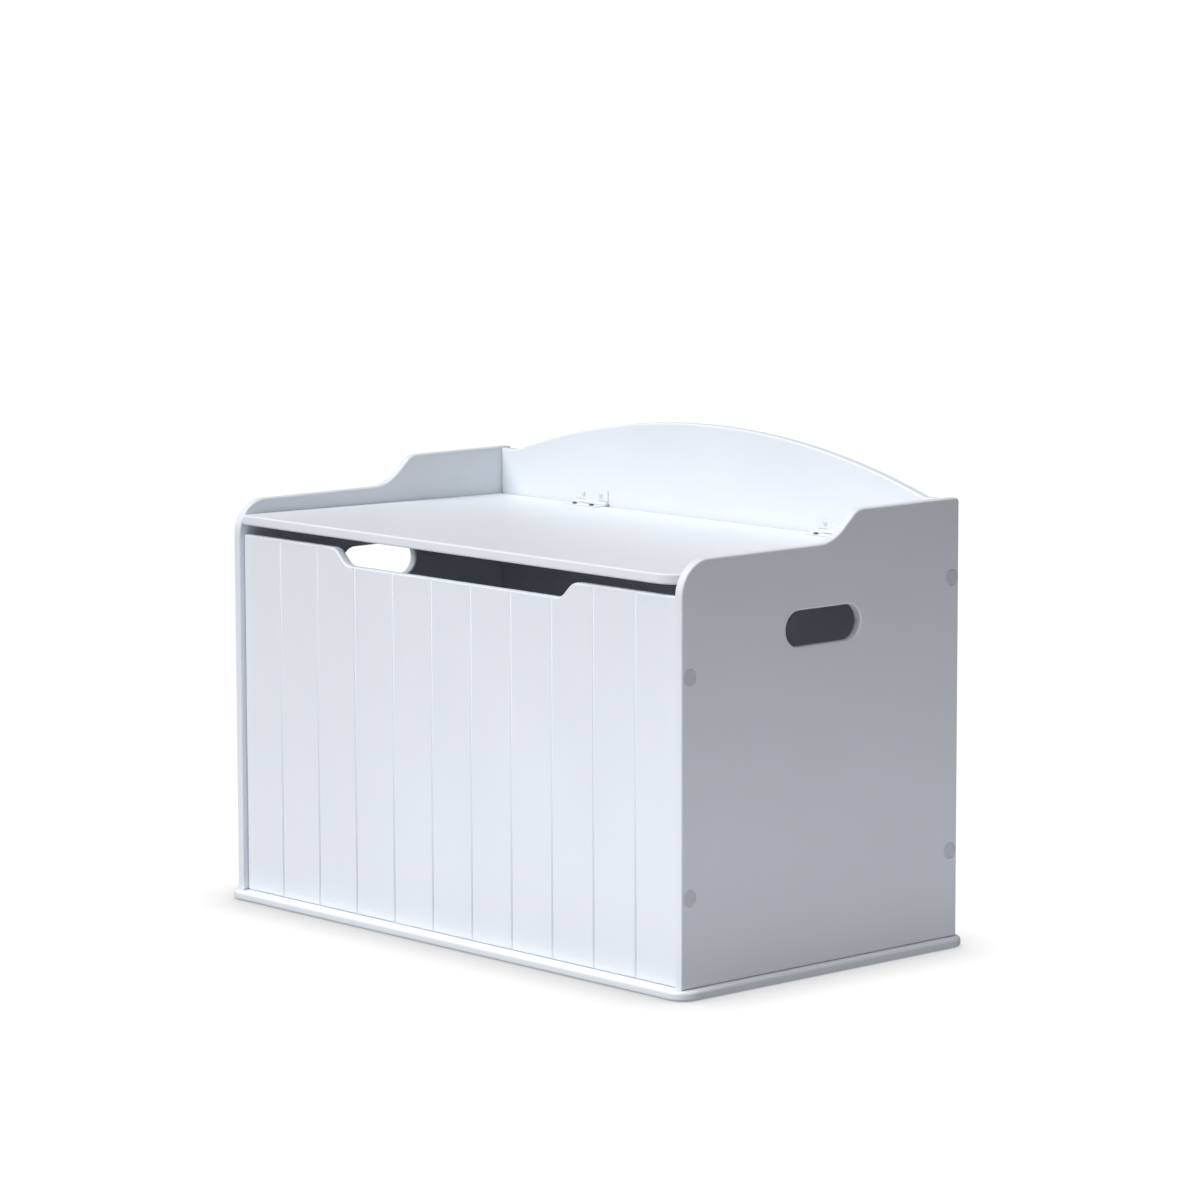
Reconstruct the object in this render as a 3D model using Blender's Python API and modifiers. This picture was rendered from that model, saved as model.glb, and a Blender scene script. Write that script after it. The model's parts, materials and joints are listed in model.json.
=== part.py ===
"""A painted bench toy box: five board panels on an overhanging base, a seat lid on two butt hinges,
and two lid stays that hold the lid wherever it is let go.

Metres, +Z up. The origin is on the floor under the middle of the box, and the front faces -Y.
"""

import math

import bmesh
import bpy
from mathutils import Matrix, Vector

# --- Driving dimensions -----------------------------------------------------------------------

body_width = 0.819  # over the outer faces of the two side panels
body_depth = 0.4536  # front edge to rear edge of a side panel
side_height = 0.5435  # floor to the top of a side panel at the back
board = 0.0125  # painted fibreboard of every upright panel and of the lid
fit_gap = 0.0003  # between pieces that touch
board_round = 0.0026  # rounded edges of the boards

base_thickness = 0.012
base_side_overhang = 0.012
base_front_overhang = 0.010
base_rear_overhang = 0.010
base_corner = 0.025
base_round = 0.004

arm_drop = 0.0365  # the low front part of a side panel below its top
side_front_corner = 0.042
swoop_start = 0.2183  # front edge of a side panel to where its low part starts to rise
swoop_foot_radius = 0.060
swoop_head_radius = 0.025
swoop_angle = math.radians(42)
side_rear_corner = 0.006

hand_slot_length = 0.122
hand_slot_height = 0.043
hand_slot_drop = 0.132  # side panel's top to the middle of the slot

panel_recess = 0.0062  # front and back panels sit this far inside the side panels' edges
lid_air_gap = 0.0131  # front panel's top to the closed lid's underside
notch_half_width = 0.217
notch_depth = 0.0205
notch_run = 0.021  # width of its sloping ends
notch_corner = 0.022
boards_in_front = 11
groove_width = 0.0034

shoulder_drop = 0.002  # back panel's level shoulders below the side panels' tops
arch_rise = 0.059
arch_half_width = 0.368

seat_drop = 0.061  # side panel's top to the lid's top face at its rear edge
lid_rise = math.radians(0.96)  # the closed lid climbs a little towards the front
lid_side_gap = 0.0016
lid_rear_gap = 0.0025
lid_front_setback = 0.0008
lid_right_corner = 0.034
lid_left_corner = 0.006

hinge_from_middle = 0.219
hinge_width = 0.060
leaf_thickness = 0.0012
lid_leaf_reach = 0.021
back_leaf_reach = 0.017
knuckle_radius = 0.00275
middle_knuckle = 0.024
knuckle_gap = 0.0004
hinge_pin_radius = 0.0014
hinge_pin_head = 0.0023
hinge_pin_head_rim = 0.0012
hinge_pin_dome = 0.0004
hinge_pin_point = 0.0005
hinge_screw_spacing = 0.032
hinge_screw_head = 0.0034
hinge_screw_head_height = 0.0016
hinge_screw_head_round = 0.001
hinge_screw_head_rim = 0.00135
hinge_screw_shank = 0.0016
hinge_screw_skin = 0.002  # board left whole behind a hinge screw
lid_leaf_screw = 0.0135  # hinge axis to the screws
back_leaf_screw = 0.0105

stay_reach = 0.095  # hinge axis to the lid pivot, along the lid
stay_link = Vector((0.0, -0.030, -0.040))  # hinge axis to side pivot, and lid pivot to elbow
stay_plate = 0.002
stay_gap = 0.0006
stay_arm_width = 0.015
stay_pin_radius = 0.003
stay_pin_head = 0.005
stay_pin_head_height = 0.0014
stay_pin_head_round = 0.0005
housing_thickness = 0.010
housing_ahead = 0.026  # side pivot to the housing's front end
housing_behind = 0.014
housing_height = 0.032
housing_corner = 0.008
housing_round = 0.0012
housing_bore_depth = 0.006
bracket_length = 0.034
bracket_flange = 0.018
bracket_drop = 0.020
bracket_to_pivot = 0.0115  # lid underside to the pin

rest_width = 0.018
rest_height = 0.018
rest_setback = 0.048  # front panel's inner face to the rest
rest_to_stay = 0.0477  # rear end of the rest to the lid stay's bracket
rest_corner = 0.004
pad_setback = 0.025  # front end of the rest to the middle of its pad
pad_radius = 0.008
pad_thickness = 0.005
pad_chamfer = 0.002

cap_radius = 0.010
cap_thickness = 0.0016
cap_proud = 0.0002
cap_chamfer = 0.0005
low_connector_height = 0.118  # above the floor
front_connector_drop = 0.091  # below the front panel's top
back_connector_drop = 0.095  # below the side panels' tops
connector_head = 0.0048
connector_head_depth = 0.0045
connector_shank = 0.0032
connector_length = 0.046

base_screw_head = 0.004
base_screw_head_depth = 0.0021
base_screw_head_rim = 0.0006
base_screw_recess = 0.0008  # head below the underside of the base
base_screw_shank = 0.002
base_screw_length = 0.036
base_screw_from_middle = 0.150

# --- Fineness of the meshes -------------------------------------------------------------------

arc_step = math.radians(13)
small_arc_step = math.radians(22.5)
knuckle_step = math.radians(30)
arch_step = math.radians(1.5)
bore_sides = 16
cap_sides = 18
screw_sides = 10
overrun = 0.002  # how far a cutter goes past the face it starts from, or past a screw's end
weld_distance = 0.000001
turned_weld_distance = 0.00005
smooth_below = math.radians(50)
empty_size = 0.03

# --- Sizes that follow ------------------------------------------------------------------------

SIDES = (("left", -1), ("right", 1))
quarter = math.pi / 2

outer = body_width / 2
inner = outer - board
front_edge = -body_depth / 2
rear_edge = body_depth / 2
arm_height = side_height - arm_drop
shoulder_height = side_height - shoulder_drop
arch_height = shoulder_height + arch_rise
panel_foot = base_thickness + fit_gap
front_face = front_edge + panel_recess
back_face = rear_edge - panel_recess - board
front_middle = front_face + board / 2
back_middle = back_face + board / 2

axis_offset = knuckle_radius + fit_gap  # hinge axis to the lid's top and to the back panel
hinge_axis = Vector((0.0, back_face - axis_offset, side_height - seat_drop + axis_offset))
lid_tilt = Matrix.Rotation(-lid_rise, 4, "X")
lid_frame = Matrix.Translation(hinge_axis) @ lid_tilt  # local origin on the hinge axis
lid_top = -axis_offset
lid_under = lid_top - board

WHITE_PAINT = ("white_paint", (0.86, 0.88, 0.92), 0.42, 0.0)
WHITE_METAL = ("white_metal", (0.84, 0.86, 0.89), 0.35, 0.0)
PAINTED_CAP = ("cap_plastic", (0.78, 0.80, 0.85), 0.45, 0.0)
ZINC_STEEL = ("zinc_steel", (0.62, 0.62, 0.60), 0.32, 1.0)
DARK_STEEL = ("dark_steel", (0.05, 0.05, 0.055), 0.40, 1.0)
STAY_PLASTIC = ("stay_plastic", (0.62, 0.63, 0.65), 0.45, 0.0)
PAD_RUBBER = ("pad_rubber", (0.72, 0.72, 0.72), 0.75, 0.0)


# --- Scene helpers ----------------------------------------------------------------------------


def clear_scene():
    for obj in list(bpy.data.objects):
        bpy.data.objects.remove(obj, do_unlink=True)


def new_collection(name):
    collection = bpy.data.collections.new(name)
    bpy.context.scene.collection.children.link(collection)
    return collection


def paint(obj, finish):
    name, colour, roughness, metallic = finish
    material = bpy.data.materials.get(name)
    if material is None:
        material = bpy.data.materials.new(name)
        material.use_nodes = True
        shader = material.node_tree.nodes["Principled BSDF"]
        shader.inputs["Base Color"].default_value = (*colour, 1.0)
        shader.inputs["Roughness"].default_value = roughness
        shader.inputs["Metallic"].default_value = metallic
        material.diffuse_color = (*colour, 1.0)
    obj.data.materials.clear()
    obj.data.materials.append(material)


def axes_matrix(u, v, origin):
    """The frame whose local X and Y run along u and v, at origin."""
    u, v = Vector(u), Vector(v)
    matrix = Matrix((u, v, u.cross(v))).transposed().to_4x4()
    return Matrix.Translation(origin) @ matrix


# --- Shape helpers ----------------------------------------------------------------------------


def arc(centre, radius, start, end, step=arc_step):
    """Points from angle start to angle end, both included."""
    count = max(2, math.ceil(abs(end - start) / step))
    angles = [start + (end - start) * k / count for k in range(count + 1)]
    return [(centre[0] + radius * math.cos(a), centre[1] + radius * math.sin(a)) for a in angles]


def circle(centre, radius, step=small_arc_step):
    return arc(centre, radius, 0, 4 * quarter, step)[:-1]


def rounded_rectangle(left, right, low, high, radius):
    corners = ((right, high, 0), (left, high, 1), (left, low, 2), (right, low, 3))
    points = []
    for u, v, turn in corners:
        inward_u = math.copysign(radius, (left + right) / 2 - u)
        inward_v = math.copysign(radius, (low + high) / 2 - v)
        centre = (u + inward_u, v + inward_v)
        points += arc(centre, radius, turn * quarter, (turn + 1) * quarter)
    return points


def slab(name, outlines, thickness, frame, finish, edge=0.0, edge_steps=1):
    """A flat outline, the first of outlines with the others as holes, made thick with rounded edges."""
    curve = bpy.data.curves.new(name, "CURVE")
    curve.dimensions = "2D"
    curve.fill_mode = "BOTH"
    curve.extrude = thickness / 2 - edge
    curve.bevel_depth = edge
    curve.bevel_resolution = edge_steps - 1
    curve.offset = -edge  # the rounding grows back out to the outline
    for outline in outlines:
        spline = curve.splines.new("POLY")
        spline.points.add(len(outline) - 1)
        spline.use_cyclic_u = True
        for point, (u, v) in zip(spline.points, outline):
            point.co = (u, v, 0.0, 1.0)
    drawn = bpy.data.objects.new(name + "_outline", curve)
    parts.objects.link(drawn)
    bpy.context.view_layer.update()
    graph = bpy.context.evaluated_depsgraph_get()
    mesh = bpy.data.meshes.new_from_object(drawn.evaluated_get(graph), depsgraph=graph)
    bpy.data.objects.remove(drawn, do_unlink=True)
    shape = bmesh.new()
    shape.from_mesh(mesh)
    bmesh.ops.remove_doubles(shape, verts=shape.verts, dist=weld_distance)
    shape.to_mesh(mesh)
    shape.free()
    mesh.set_sharp_from_angle(angle=smooth_below)
    obj = bpy.data.objects.new(name, mesh)
    obj.matrix_world = frame
    parts.objects.link(obj)
    paint(obj, finish)
    return obj


def turned(name, profile, frame, finish, steps=12):
    """A turned piece: profile is (radius, height) from the top to the bottom, about the frame's Z axis."""
    mesh = bpy.data.meshes.new(name)
    points = [(radius, 0.0, height) for radius, height in profile]
    mesh.from_pydata(points, [(k, k + 1) for k in range(len(points) - 1)], [])
    obj = bpy.data.objects.new(name, mesh)
    obj.matrix_world = frame
    parts.objects.link(obj)
    screw = obj.modifiers.new("turn", "SCREW")
    screw.steps = steps
    screw.render_steps = steps
    screw.use_merge_vertices = True
    screw.merge_threshold = turned_weld_distance
    screw.use_smooth_shade = True
    paint(obj, finish)
    return obj


def as_cutter(obj):
    parts.objects.unlink(obj)
    cutters.objects.link(obj)
    obj.hide_render = True
    obj.display_type = "WIRE"
    return obj


def cut(target, cutter):
    boolean = target.modifiers.new(cutter.name, "BOOLEAN")
    boolean.operation = "DIFFERENCE"
    boolean.solver = "EXACT"
    boolean.object = cutter


def drill(target, steps, frame, name):
    """Cuts a stepped round hole: steps is (radius, depth) from the mouth inwards, along the frame's -Z."""
    profile = [(0.0, overrun)]
    for radius, depth in steps:
        profile += [(radius, profile[-1][1]), (radius, -depth)]
    profile.append((0.0, -steps[-1][1]))
    cut(target, as_cutter(turned(f"{name}_cutter", profile, frame, ZINC_STEEL, bore_sides)))


def block_cutter(name, size, frame):
    shape = bmesh.new()
    bmesh.ops.create_cube(shape, size=1.0, matrix=Matrix.Diagonal((*size, 1.0)))
    mesh = bpy.data.meshes.new(name)
    shape.to_mesh(mesh)
    shape.free()
    obj = bpy.data.objects.new(name, mesh)
    obj.matrix_world = frame
    parts.objects.link(obj)
    return as_cutter(obj)


def joint_empty(name, place):
    empty = bpy.data.objects.new(name, None)
    empty.empty_display_size = empty_size
    empty.location = place
    parts.objects.link(empty)
    return empty


def hang(obj, empty):
    """Parents a moving piece, or the next joint, to the empty on its joint without moving it."""
    obj.parent = empty
    obj.matrix_parent_inverse = Matrix.Translation(empty.location).inverted()


# --- Board panels -----------------------------------------------------------------------------


def side_outline():
    """Side panel seen from the side: U is Y and V is Z."""
    radii = swoop_foot_radius + swoop_head_radius
    straight = (arm_drop - radii * (1 - math.cos(swoop_angle))) / math.sin(swoop_angle)
    run = radii * math.sin(swoop_angle) + straight * math.cos(swoop_angle)
    start = front_edge + swoop_start
    foot_centre = (start, arm_height + swoop_foot_radius)
    head_centre = (start + run, side_height - swoop_head_radius)
    front_centre = (front_edge + side_front_corner, arm_height - side_front_corner)
    rear_centre = (rear_edge - side_rear_corner, side_height - side_rear_corner)
    points = [(rear_edge, panel_foot)]
    points += arc(rear_centre, side_rear_corner, 0, quarter)
    points += arc(head_centre, swoop_head_radius, quarter, quarter + swoop_angle)
    points += arc(foot_centre, swoop_foot_radius, swoop_angle - quarter, -quarter)
    points += arc(front_centre, side_front_corner, quarter, 2 * quarter)
    points.append((front_edge, panel_foot))
    return points


def hand_slot_outline():
    half = hand_slot_length / 2
    middle = side_height - hand_slot_drop
    end = hand_slot_height / 2
    return rounded_rectangle(-half, half, middle - end, middle + end, end)


def side_panel(side, sign):
    frame = axes_matrix((0, 1, 0), (0, 0, 1), (sign * (outer - board / 2), 0, 0))
    outlines = [side_outline(), hand_slot_outline()]
    panel = slab(f"{side}_side_panel", outlines, board, frame, WHITE_PAINT, board_round)
    connector_steps = (
        (cap_radius + fit_gap, cap_thickness + fit_gap),
        (connector_head + fit_gap, cap_thickness + connector_head_depth + 2 * fit_gap),
        (connector_shank + fit_gap, board + overrun),
    )
    for where, number, y, z in connector_places():
        mouth = connector_frame(sign, y, z)
        drill(panel, connector_steps, mouth, f"{side}_{where}_connector_hole_{number}")
    screw_steps = [(base_screw_shank + fit_gap, base_screw_length - base_thickness + overrun)]
    for number, y in base_screw_places():
        mouth = base_screw_frame(sign, y, panel_foot)
        drill(panel, screw_steps, mouth, f"{side}_base_screw_hole_{number}")
    return panel


def front_outline():
    """Front panel seen from the front: U is X and V is Z. A shallow finger notch dips into its top edge."""
    half = inner - fit_gap
    high = front_height()
    low = high - notch_depth
    slope = math.atan2(notch_depth, notch_run)
    tangent = notch_corner * math.tan(slope / 2)
    top_centre = (notch_half_width + tangent, high - notch_corner)
    low_centre = (notch_half_width - notch_run - tangent, low + notch_corner)
    right = arc(top_centre, notch_corner, quarter, quarter + slope)
    right += arc(low_centre, notch_corner, slope - quarter, -quarter)
    left = [(-u, v) for u, v in reversed(right)]
    return [(half, panel_foot), (half, high), *right, *left, (-half, high), (-half, panel_foot)]


def front_panel():
    frame = axes_matrix((1, 0, 0), (0, 0, 1), (0, front_middle, 0))
    panel = slab("front_panel", [front_outline()], board, frame, WHITE_PAINT, board_round)
    pitch = 2 * inner / boards_in_front
    across = groove_width / math.sqrt(2)
    size = (across, across, front_height() + 2 * overrun)
    on_edge = Matrix.Rotation(math.radians(45), 4, "Z")
    for number in range(1, boards_in_front):
        place = (number * pitch - inner, front_face, front_height() / 2)
        groove = block_cutter(f"groove_cutter_{number}", size, Matrix.Translation(place) @ on_edge)
        cut(panel, groove)
    drill_panel_ends(panel, "front")
    return panel


def drill_panel_ends(panel, wanted):
    depth = cap_thickness + connector_length + overrun
    for side, sign in SIDES:
        for where, number, y, z in connector_places():
            if where == wanted:
                mouth = connector_frame(sign, y, z)
                steps = [(connector_shank + fit_gap, depth)]
                drill(panel, steps, mouth, f"{where}_panel_{side}_end_hole_{number}")


def back_outline():
    """Back panel seen from the front: a shallow arch between two level shoulders."""
    half = inner - fit_gap
    radius = (arch_half_width**2 + arch_rise**2) / (2 * arch_rise)
    spread = math.asin(arch_half_width / radius)
    arch = arc((0, arch_height - radius), radius, quarter - spread, quarter + spread, arch_step)
    right = [(half, panel_foot), (half, shoulder_height)]
    left = [(-half, shoulder_height), (-half, panel_foot)]
    return [*right, *arch, *left]


def back_panel():
    frame = axes_matrix((1, 0, 0), (0, 0, 1), (0, back_middle, 0))
    panel = slab("back_panel", [back_outline()], board, frame, WHITE_PAINT, board_round)
    drill_panel_ends(panel, "back")
    for side, sign in SIDES:
        for number, x in hinge_screw_places(sign):
            mouth = axes_matrix((1, 0, 0), (0, 0, 1), (x, back_face, hinge_axis.z + back_leaf_screw))
            drill(panel, [hinge_screw_hole()], mouth, f"{side}_back_leaf_hole_{number}")
    return panel


def base_plate():
    right = outer + base_side_overhang
    front = front_edge - base_front_overhang
    rear = rear_edge + base_rear_overhang
    outline = rounded_rectangle(-right, right, front, rear, base_corner)
    frame = Matrix.Translation((0, 0, base_thickness / 2))
    plate = slab("base_plate", [outline], base_thickness, frame, WHITE_PAINT, base_round, edge_steps=2)
    steps = (
        (base_screw_head + fit_gap, base_screw_recess + base_screw_head_depth + fit_gap),
        (base_screw_shank + fit_gap, base_thickness + overrun),
    )
    for side, sign in SIDES:
        for number, y in base_screw_places():
            drill(plate, steps, base_screw_frame(sign, y, 0), f"base_{side}_screw_hole_{number}")
    return plate


# --- Lid --------------------------------------------------------------------------------------


def lid_outline():
    """The lid from above, with its origin on the hinge axis: U is X and V runs from front to back."""
    half = inner - lid_side_gap
    front = (front_edge + lid_front_setback - hinge_axis.y) / math.cos(lid_rise)
    rear = back_face - lid_rear_gap - hinge_axis.y
    left_centre = (-half + lid_left_corner, front + lid_left_corner)
    right_centre = (half - lid_right_corner, front + lid_right_corner)
    left = arc(left_centre, lid_left_corner, 2 * quarter, 3 * quarter)
    right = arc(right_centre, lid_right_corner, 3 * quarter, 4 * quarter)
    return [(half, rear), (-half, rear), *left, *right]


def lid():
    frame = lid_frame @ Matrix.Translation((0, 0, lid_top - board / 2))
    seat = slab("lid", [lid_outline()], board, frame, WHITE_PAINT, board_round)
    for side, sign in SIDES:
        for number, x in hinge_screw_places(sign):
            mouth = lid_frame @ Matrix.Translation((x, -lid_leaf_screw, lid_top))
            drill(seat, [hinge_screw_hole()], mouth, f"{side}_lid_leaf_hole_{number}")
    return seat


def lid_underside_at(y):
    """Height of the closed lid's underside above the floor at Y."""
    local = Vector((0, (y - hinge_axis.y) / math.cos(lid_rise), lid_under))
    return (lid_frame @ local).z


def front_height():
    """Floor to the top of the front panel beside its notch."""
    return lid_underside_at(front_face) - lid_air_gap


# --- Hinges -----------------------------------------------------------------------------------


def leaf_outline(reach):
    """A leaf and its rolled knuckle, seen along the pin: the plate runs to -U below the axis."""
    plate_top = -knuckle_radius + leaf_thickness
    meets = 2 * quarter + math.asin(-plate_top / knuckle_radius)
    rolled = arc((0, 0), knuckle_radius, -quarter, meets, knuckle_step)
    return [(-reach, -knuckle_radius), *rolled, (-reach, plate_top)]


def hinge_leaf(name, reach, frame, keeps_middle):
    """frame has U and V across the pin and its local Z along the pin."""
    bore = circle((0, 0), hinge_pin_radius + fit_gap, knuckle_step)
    leaf = slab(name, [leaf_outline(reach), bore], hinge_width, frame, WHITE_METAL)
    across = 4 * knuckle_radius
    away = across / 2 - knuckle_radius - knuckle_gap
    if keeps_middle:
        length = hinge_width - middle_knuckle
        middles = (-hinge_width / 2, hinge_width / 2)
    else:
        length = middle_knuckle + 2 * knuckle_gap
        middles = (0.0,)
    for number, middle in enumerate(middles, start=1):
        place = frame @ Matrix.Translation((away, 0, middle))
        cut(leaf, block_cutter(f"{name}_knuckle_cutter_{number}", (across, across, length), place))
    return leaf


def hinge_pin_profile():
    seat = hinge_width / 2 + fit_gap
    rim = seat + hinge_pin_head_rim - fit_gap
    return [
        (0, rim + hinge_pin_dome),
        (hinge_pin_head, rim),
        (hinge_pin_head, seat),
        (hinge_pin_radius, seat),
        (hinge_pin_radius, -seat),
        (0, -seat - hinge_pin_point),
    ]


def hinge_screw_places(sign):
    middle = sign * hinge_from_middle
    apart = hinge_screw_spacing / 2
    return enumerate((middle - apart, middle + apart), start=1)


def hinge_screw_length():
    return board - hinge_screw_skin


def hinge_screw_hole():
    return (hinge_screw_shank + fit_gap, hinge_screw_length())


def hinge_screw(name, frame, finish):
    """A pan-head screw, its head's seat at height 0."""
    length = hinge_screw_length()
    profile = [
        (0, hinge_screw_head_height),
        (hinge_screw_head - hinge_screw_head_round, hinge_screw_head_rim),
        (hinge_screw_head, 0),
        (hinge_screw_shank, 0),
        (hinge_screw_shank, -length + hinge_screw_shank),
        (0, -length),
    ]
    return turned(name, profile, frame, finish, screw_sides)


def hinge(side, sign, lid_joint):
    x = sign * hinge_from_middle
    axis = hinge_axis + Vector((x, 0, 0))
    along = lid_frame @ axes_matrix((0, 1, 0), (0, 0, 1), (x, 0, 0))
    upright = axes_matrix((0, 0, -1), (0, -1, 0), axis)
    lid_leaf = hinge_leaf(f"{side}_hinge_lid_leaf", lid_leaf_reach, along, keeps_middle=False)
    back_leaf = hinge_leaf(f"{side}_hinge_back_leaf", back_leaf_reach, upright, keeps_middle=True)
    pin_frame = axes_matrix((0, 1, 0), (0, 0, 1), axis)
    turned(f"{side}_hinge_pin", hinge_pin_profile(), pin_frame, WHITE_METAL)
    hang(lid_leaf, lid_joint)
    seat = leaf_thickness - knuckle_radius + fit_gap
    for number, screw_x in hinge_screw_places(sign):
        on_lid = lid_frame @ Matrix.Translation((screw_x, -lid_leaf_screw, seat))
        drill(lid_leaf, [hinge_screw_hole()], on_lid, f"{side}_lid_leaf_bore_{number}")
        hang(hinge_screw(f"{side}_lid_hinge_screw_{number}", on_lid, DARK_STEEL), lid_joint)
        place = (screw_x, hinge_axis.y - seat, hinge_axis.z + back_leaf_screw)
        on_back = axes_matrix((1, 0, 0), (0, 0, 1), place)
        drill(back_leaf, [hinge_screw_hole()], on_back, f"{side}_back_leaf_bore_{number}")
        hinge_screw(f"{side}_back_hinge_screw_{number}", on_back, WHITE_METAL)


# --- Lid stays --------------------------------------------------------------------------------


def stay_pivots():
    """Side pivot, elbow and lid pivot at rest: with the hinge they are a parallelogram's corners."""
    crank = lid_tilt @ Vector((0, -stay_reach, lid_under - bracket_to_pivot))
    side_pivot = hinge_axis + stay_link
    return side_pivot, side_pivot + crank, hinge_axis + crank


def stay_layers():
    """Distances from the side panel's inner face to the middles of the crank and the link."""
    crank = fit_gap + housing_thickness + stay_gap + stay_plate / 2
    link = crank + stay_plate + stay_gap
    return crank, link


def arm_outline(start, end):
    """A straight bar with round ends about two pivots, given in (Y, Z)."""
    along = end - start
    heading = math.atan2(along.y, along.x)
    half = stay_arm_width / 2
    points = arc(end, half, heading - quarter, heading + quarter, small_arc_step)
    points += arc(start, half, heading + quarter, heading + 3 * quarter, small_arc_step)
    return points


def stay_arm(name, start, end, layer, sign):
    """layer is the distance from the side panel's inner face to the arm's middle."""
    frame = axes_matrix((0, 1, 0), (0, 0, 1), (sign * (inner - layer), 0, 0))
    holes = [circle(centre, stay_pin_radius + fit_gap) for centre in (start, end)]
    return slab(name, [arm_outline(start, end), *holes], stay_plate, frame, ZINC_STEEL)


def stay_pin(name, place, head_layer, end_layer, sign):
    """A headed pin along X: its head bears on head_layer, and it ends at end_layer, nearer the side."""
    frame = axes_matrix((0, sign, 0), (0, 0, -1), (0, place.y, place.z))
    bearing = head_layer - inner
    head = bearing + stay_pin_head_height
    end = end_layer - inner
    profile = [
        (0, head),
        (stay_pin_head - stay_pin_head_height, head),
        (stay_pin_head, head - stay_pin_head_round),
        (stay_pin_head, bearing + fit_gap),
        (stay_pin_radius, bearing + fit_gap),
        (stay_pin_radius, end),
        (0, end),
    ]
    return turned(name, profile, frame, ZINC_STEEL)


def damper(side, sign, pivot):
    """The stay's plastic housing on the side panel, bored for its shaft."""
    frame = axes_matrix((0, 1, 0), (0, 0, 1), (sign * (inner - fit_gap - housing_thickness / 2), 0, 0))
    outline = rounded_rectangle(
        pivot.y - housing_ahead,
        pivot.y + housing_behind,
        pivot.z - housing_height / 2,
        pivot.z + housing_height / 2,
        housing_corner,
    )
    name = f"{side}_stay_damper"
    housing = slab(name, [outline], housing_thickness, frame, STAY_PLASTIC, housing_round)
    mouth = (sign * (inner - fit_gap - housing_thickness), pivot.y, pivot.z)
    bore = axes_matrix((0, sign, 0), (0, 0, -1), mouth)
    drill(housing, [(stay_pin_radius + fit_gap, housing_bore_depth)], bore, f"{side}_damper_bore")


def lid_bracket(side, sign, pivot, ear_layer):
    """An angle screwed under the lid: its ear hangs beside the link."""
    ear = sign * (inner - ear_layer)
    under = lid_under - fit_gap
    local = lid_frame.inverted() @ Vector((ear, pivot.y, pivot.z))
    outer_face = ear + sign * stay_plate / 2
    near_face = ear - sign * stay_plate / 2
    far_edge = outer_face - sign * bracket_flange
    outline = [
        (outer_face, under),
        (outer_face, under - bracket_drop),
        (near_face, under - bracket_drop),
        (near_face, under - stay_plate),
        (far_edge, under - stay_plate),
        (far_edge, under),
    ]
    frame = lid_frame @ axes_matrix((1, 0, 0), (0, 0, 1), (0, local.y, 0))
    bracket = slab(f"{side}_stay_lid_bracket", [outline], bracket_length, frame, ZINC_STEEL)
    mouth = Matrix.Translation(local + Vector((stay_plate / 2, 0, 0)))
    bore = lid_frame @ mouth @ Matrix.Rotation(quarter, 4, "Y")
    drill(bracket, [(stay_pin_radius + fit_gap, stay_plate + overrun)], bore, f"{side}_stay_ear_hole")
    return bracket


def lid_stay(side, sign, lid_joint):
    """A damped two-arm stay. Its four pivots make a parallelogram, so the crank turns with the lid."""
    side_pivot, elbow, lid_pivot = stay_pivots()
    crank_layer, link_layer = stay_layers()
    crank_head = crank_layer + stay_plate / 2
    link_head = link_layer + stay_plate / 2
    link_pin_end = crank_layer - stay_plate / 2 - fit_gap
    shaft_end = 2 * fit_gap + housing_thickness - housing_bore_depth

    damper(side, sign, side_pivot)
    stay_pin(f"{side}_stay_damper_shaft", side_pivot, crank_head, shaft_end, sign)

    x = sign * inner
    crank_joint = joint_empty(f"{side}_stay_crank_joint", (x, side_pivot.y, side_pivot.z))
    crank = stay_arm(f"{side}_stay_crank", side_pivot.yz, elbow.yz, crank_layer, sign)
    elbow_pin = stay_pin(f"{side}_stay_elbow_pin", elbow, link_head, link_pin_end, sign)
    link_joint = joint_empty(f"{side}_stay_link_joint", (x, elbow.y, elbow.z))
    for moving in (crank, elbow_pin, link_joint):
        hang(moving, crank_joint)

    hang(stay_arm(f"{side}_stay_link", elbow.yz, lid_pivot.yz, link_layer, sign), link_joint)
    hang(lid_bracket(side, sign, lid_pivot, crank_layer), lid_joint)
    hang(stay_pin(f"{side}_stay_lid_pin", lid_pivot, link_head, link_pin_end, sign), lid_joint)


# --- Lid rests --------------------------------------------------------------------------------


def lid_rest(side, sign):
    """A softwood strip on the side panel, with a pad on it that the closed lid lies on."""
    front = front_face + board + rest_setback
    lid_pivot = stay_pivots()[2]
    rear = lid_pivot.y - bracket_length / 2 - rest_to_stay
    pad_y = front + pad_setback
    top = lid_underside_at(pad_y) - pad_thickness - 2 * fit_gap
    middle = sign * (inner - fit_gap - rest_width / 2)
    outline = rounded_rectangle(front, rear, top - rest_height, top, rest_corner)
    frame = axes_matrix((0, 1, 0), (0, 0, 1), (middle, 0, 0))
    slab(f"{side}_lid_rest", [outline], rest_width, frame, WHITE_PAINT)
    place = Matrix.Translation((middle, pad_y, top + fit_gap))
    profile = [
        (0, pad_thickness),
        (pad_radius - pad_chamfer, pad_thickness),
        (pad_radius, pad_thickness - pad_chamfer),
        (pad_radius, 0),
        (0, 0),
    ]
    turned(f"{side}_rest_pad", profile, place, PAD_RUBBER)


# --- Fasteners --------------------------------------------------------------------------------


def connector_places():
    """Where the screws that hold the front and back panels pass through a side panel, as (Y, Z)."""
    return (
        ("front", 1, front_middle, low_connector_height),
        ("front", 2, front_middle, front_height() - front_connector_drop),
        ("back", 1, back_middle, low_connector_height),
        ("back", 2, back_middle, side_height - back_connector_drop),
    )


def connector_frame(sign, y, z):
    """On the side panel's outer face, its local Z pointing out of the box."""
    return Matrix.Translation((sign * outer, y, z)) @ Matrix.Rotation(sign * quarter, 4, "Y")


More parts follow.
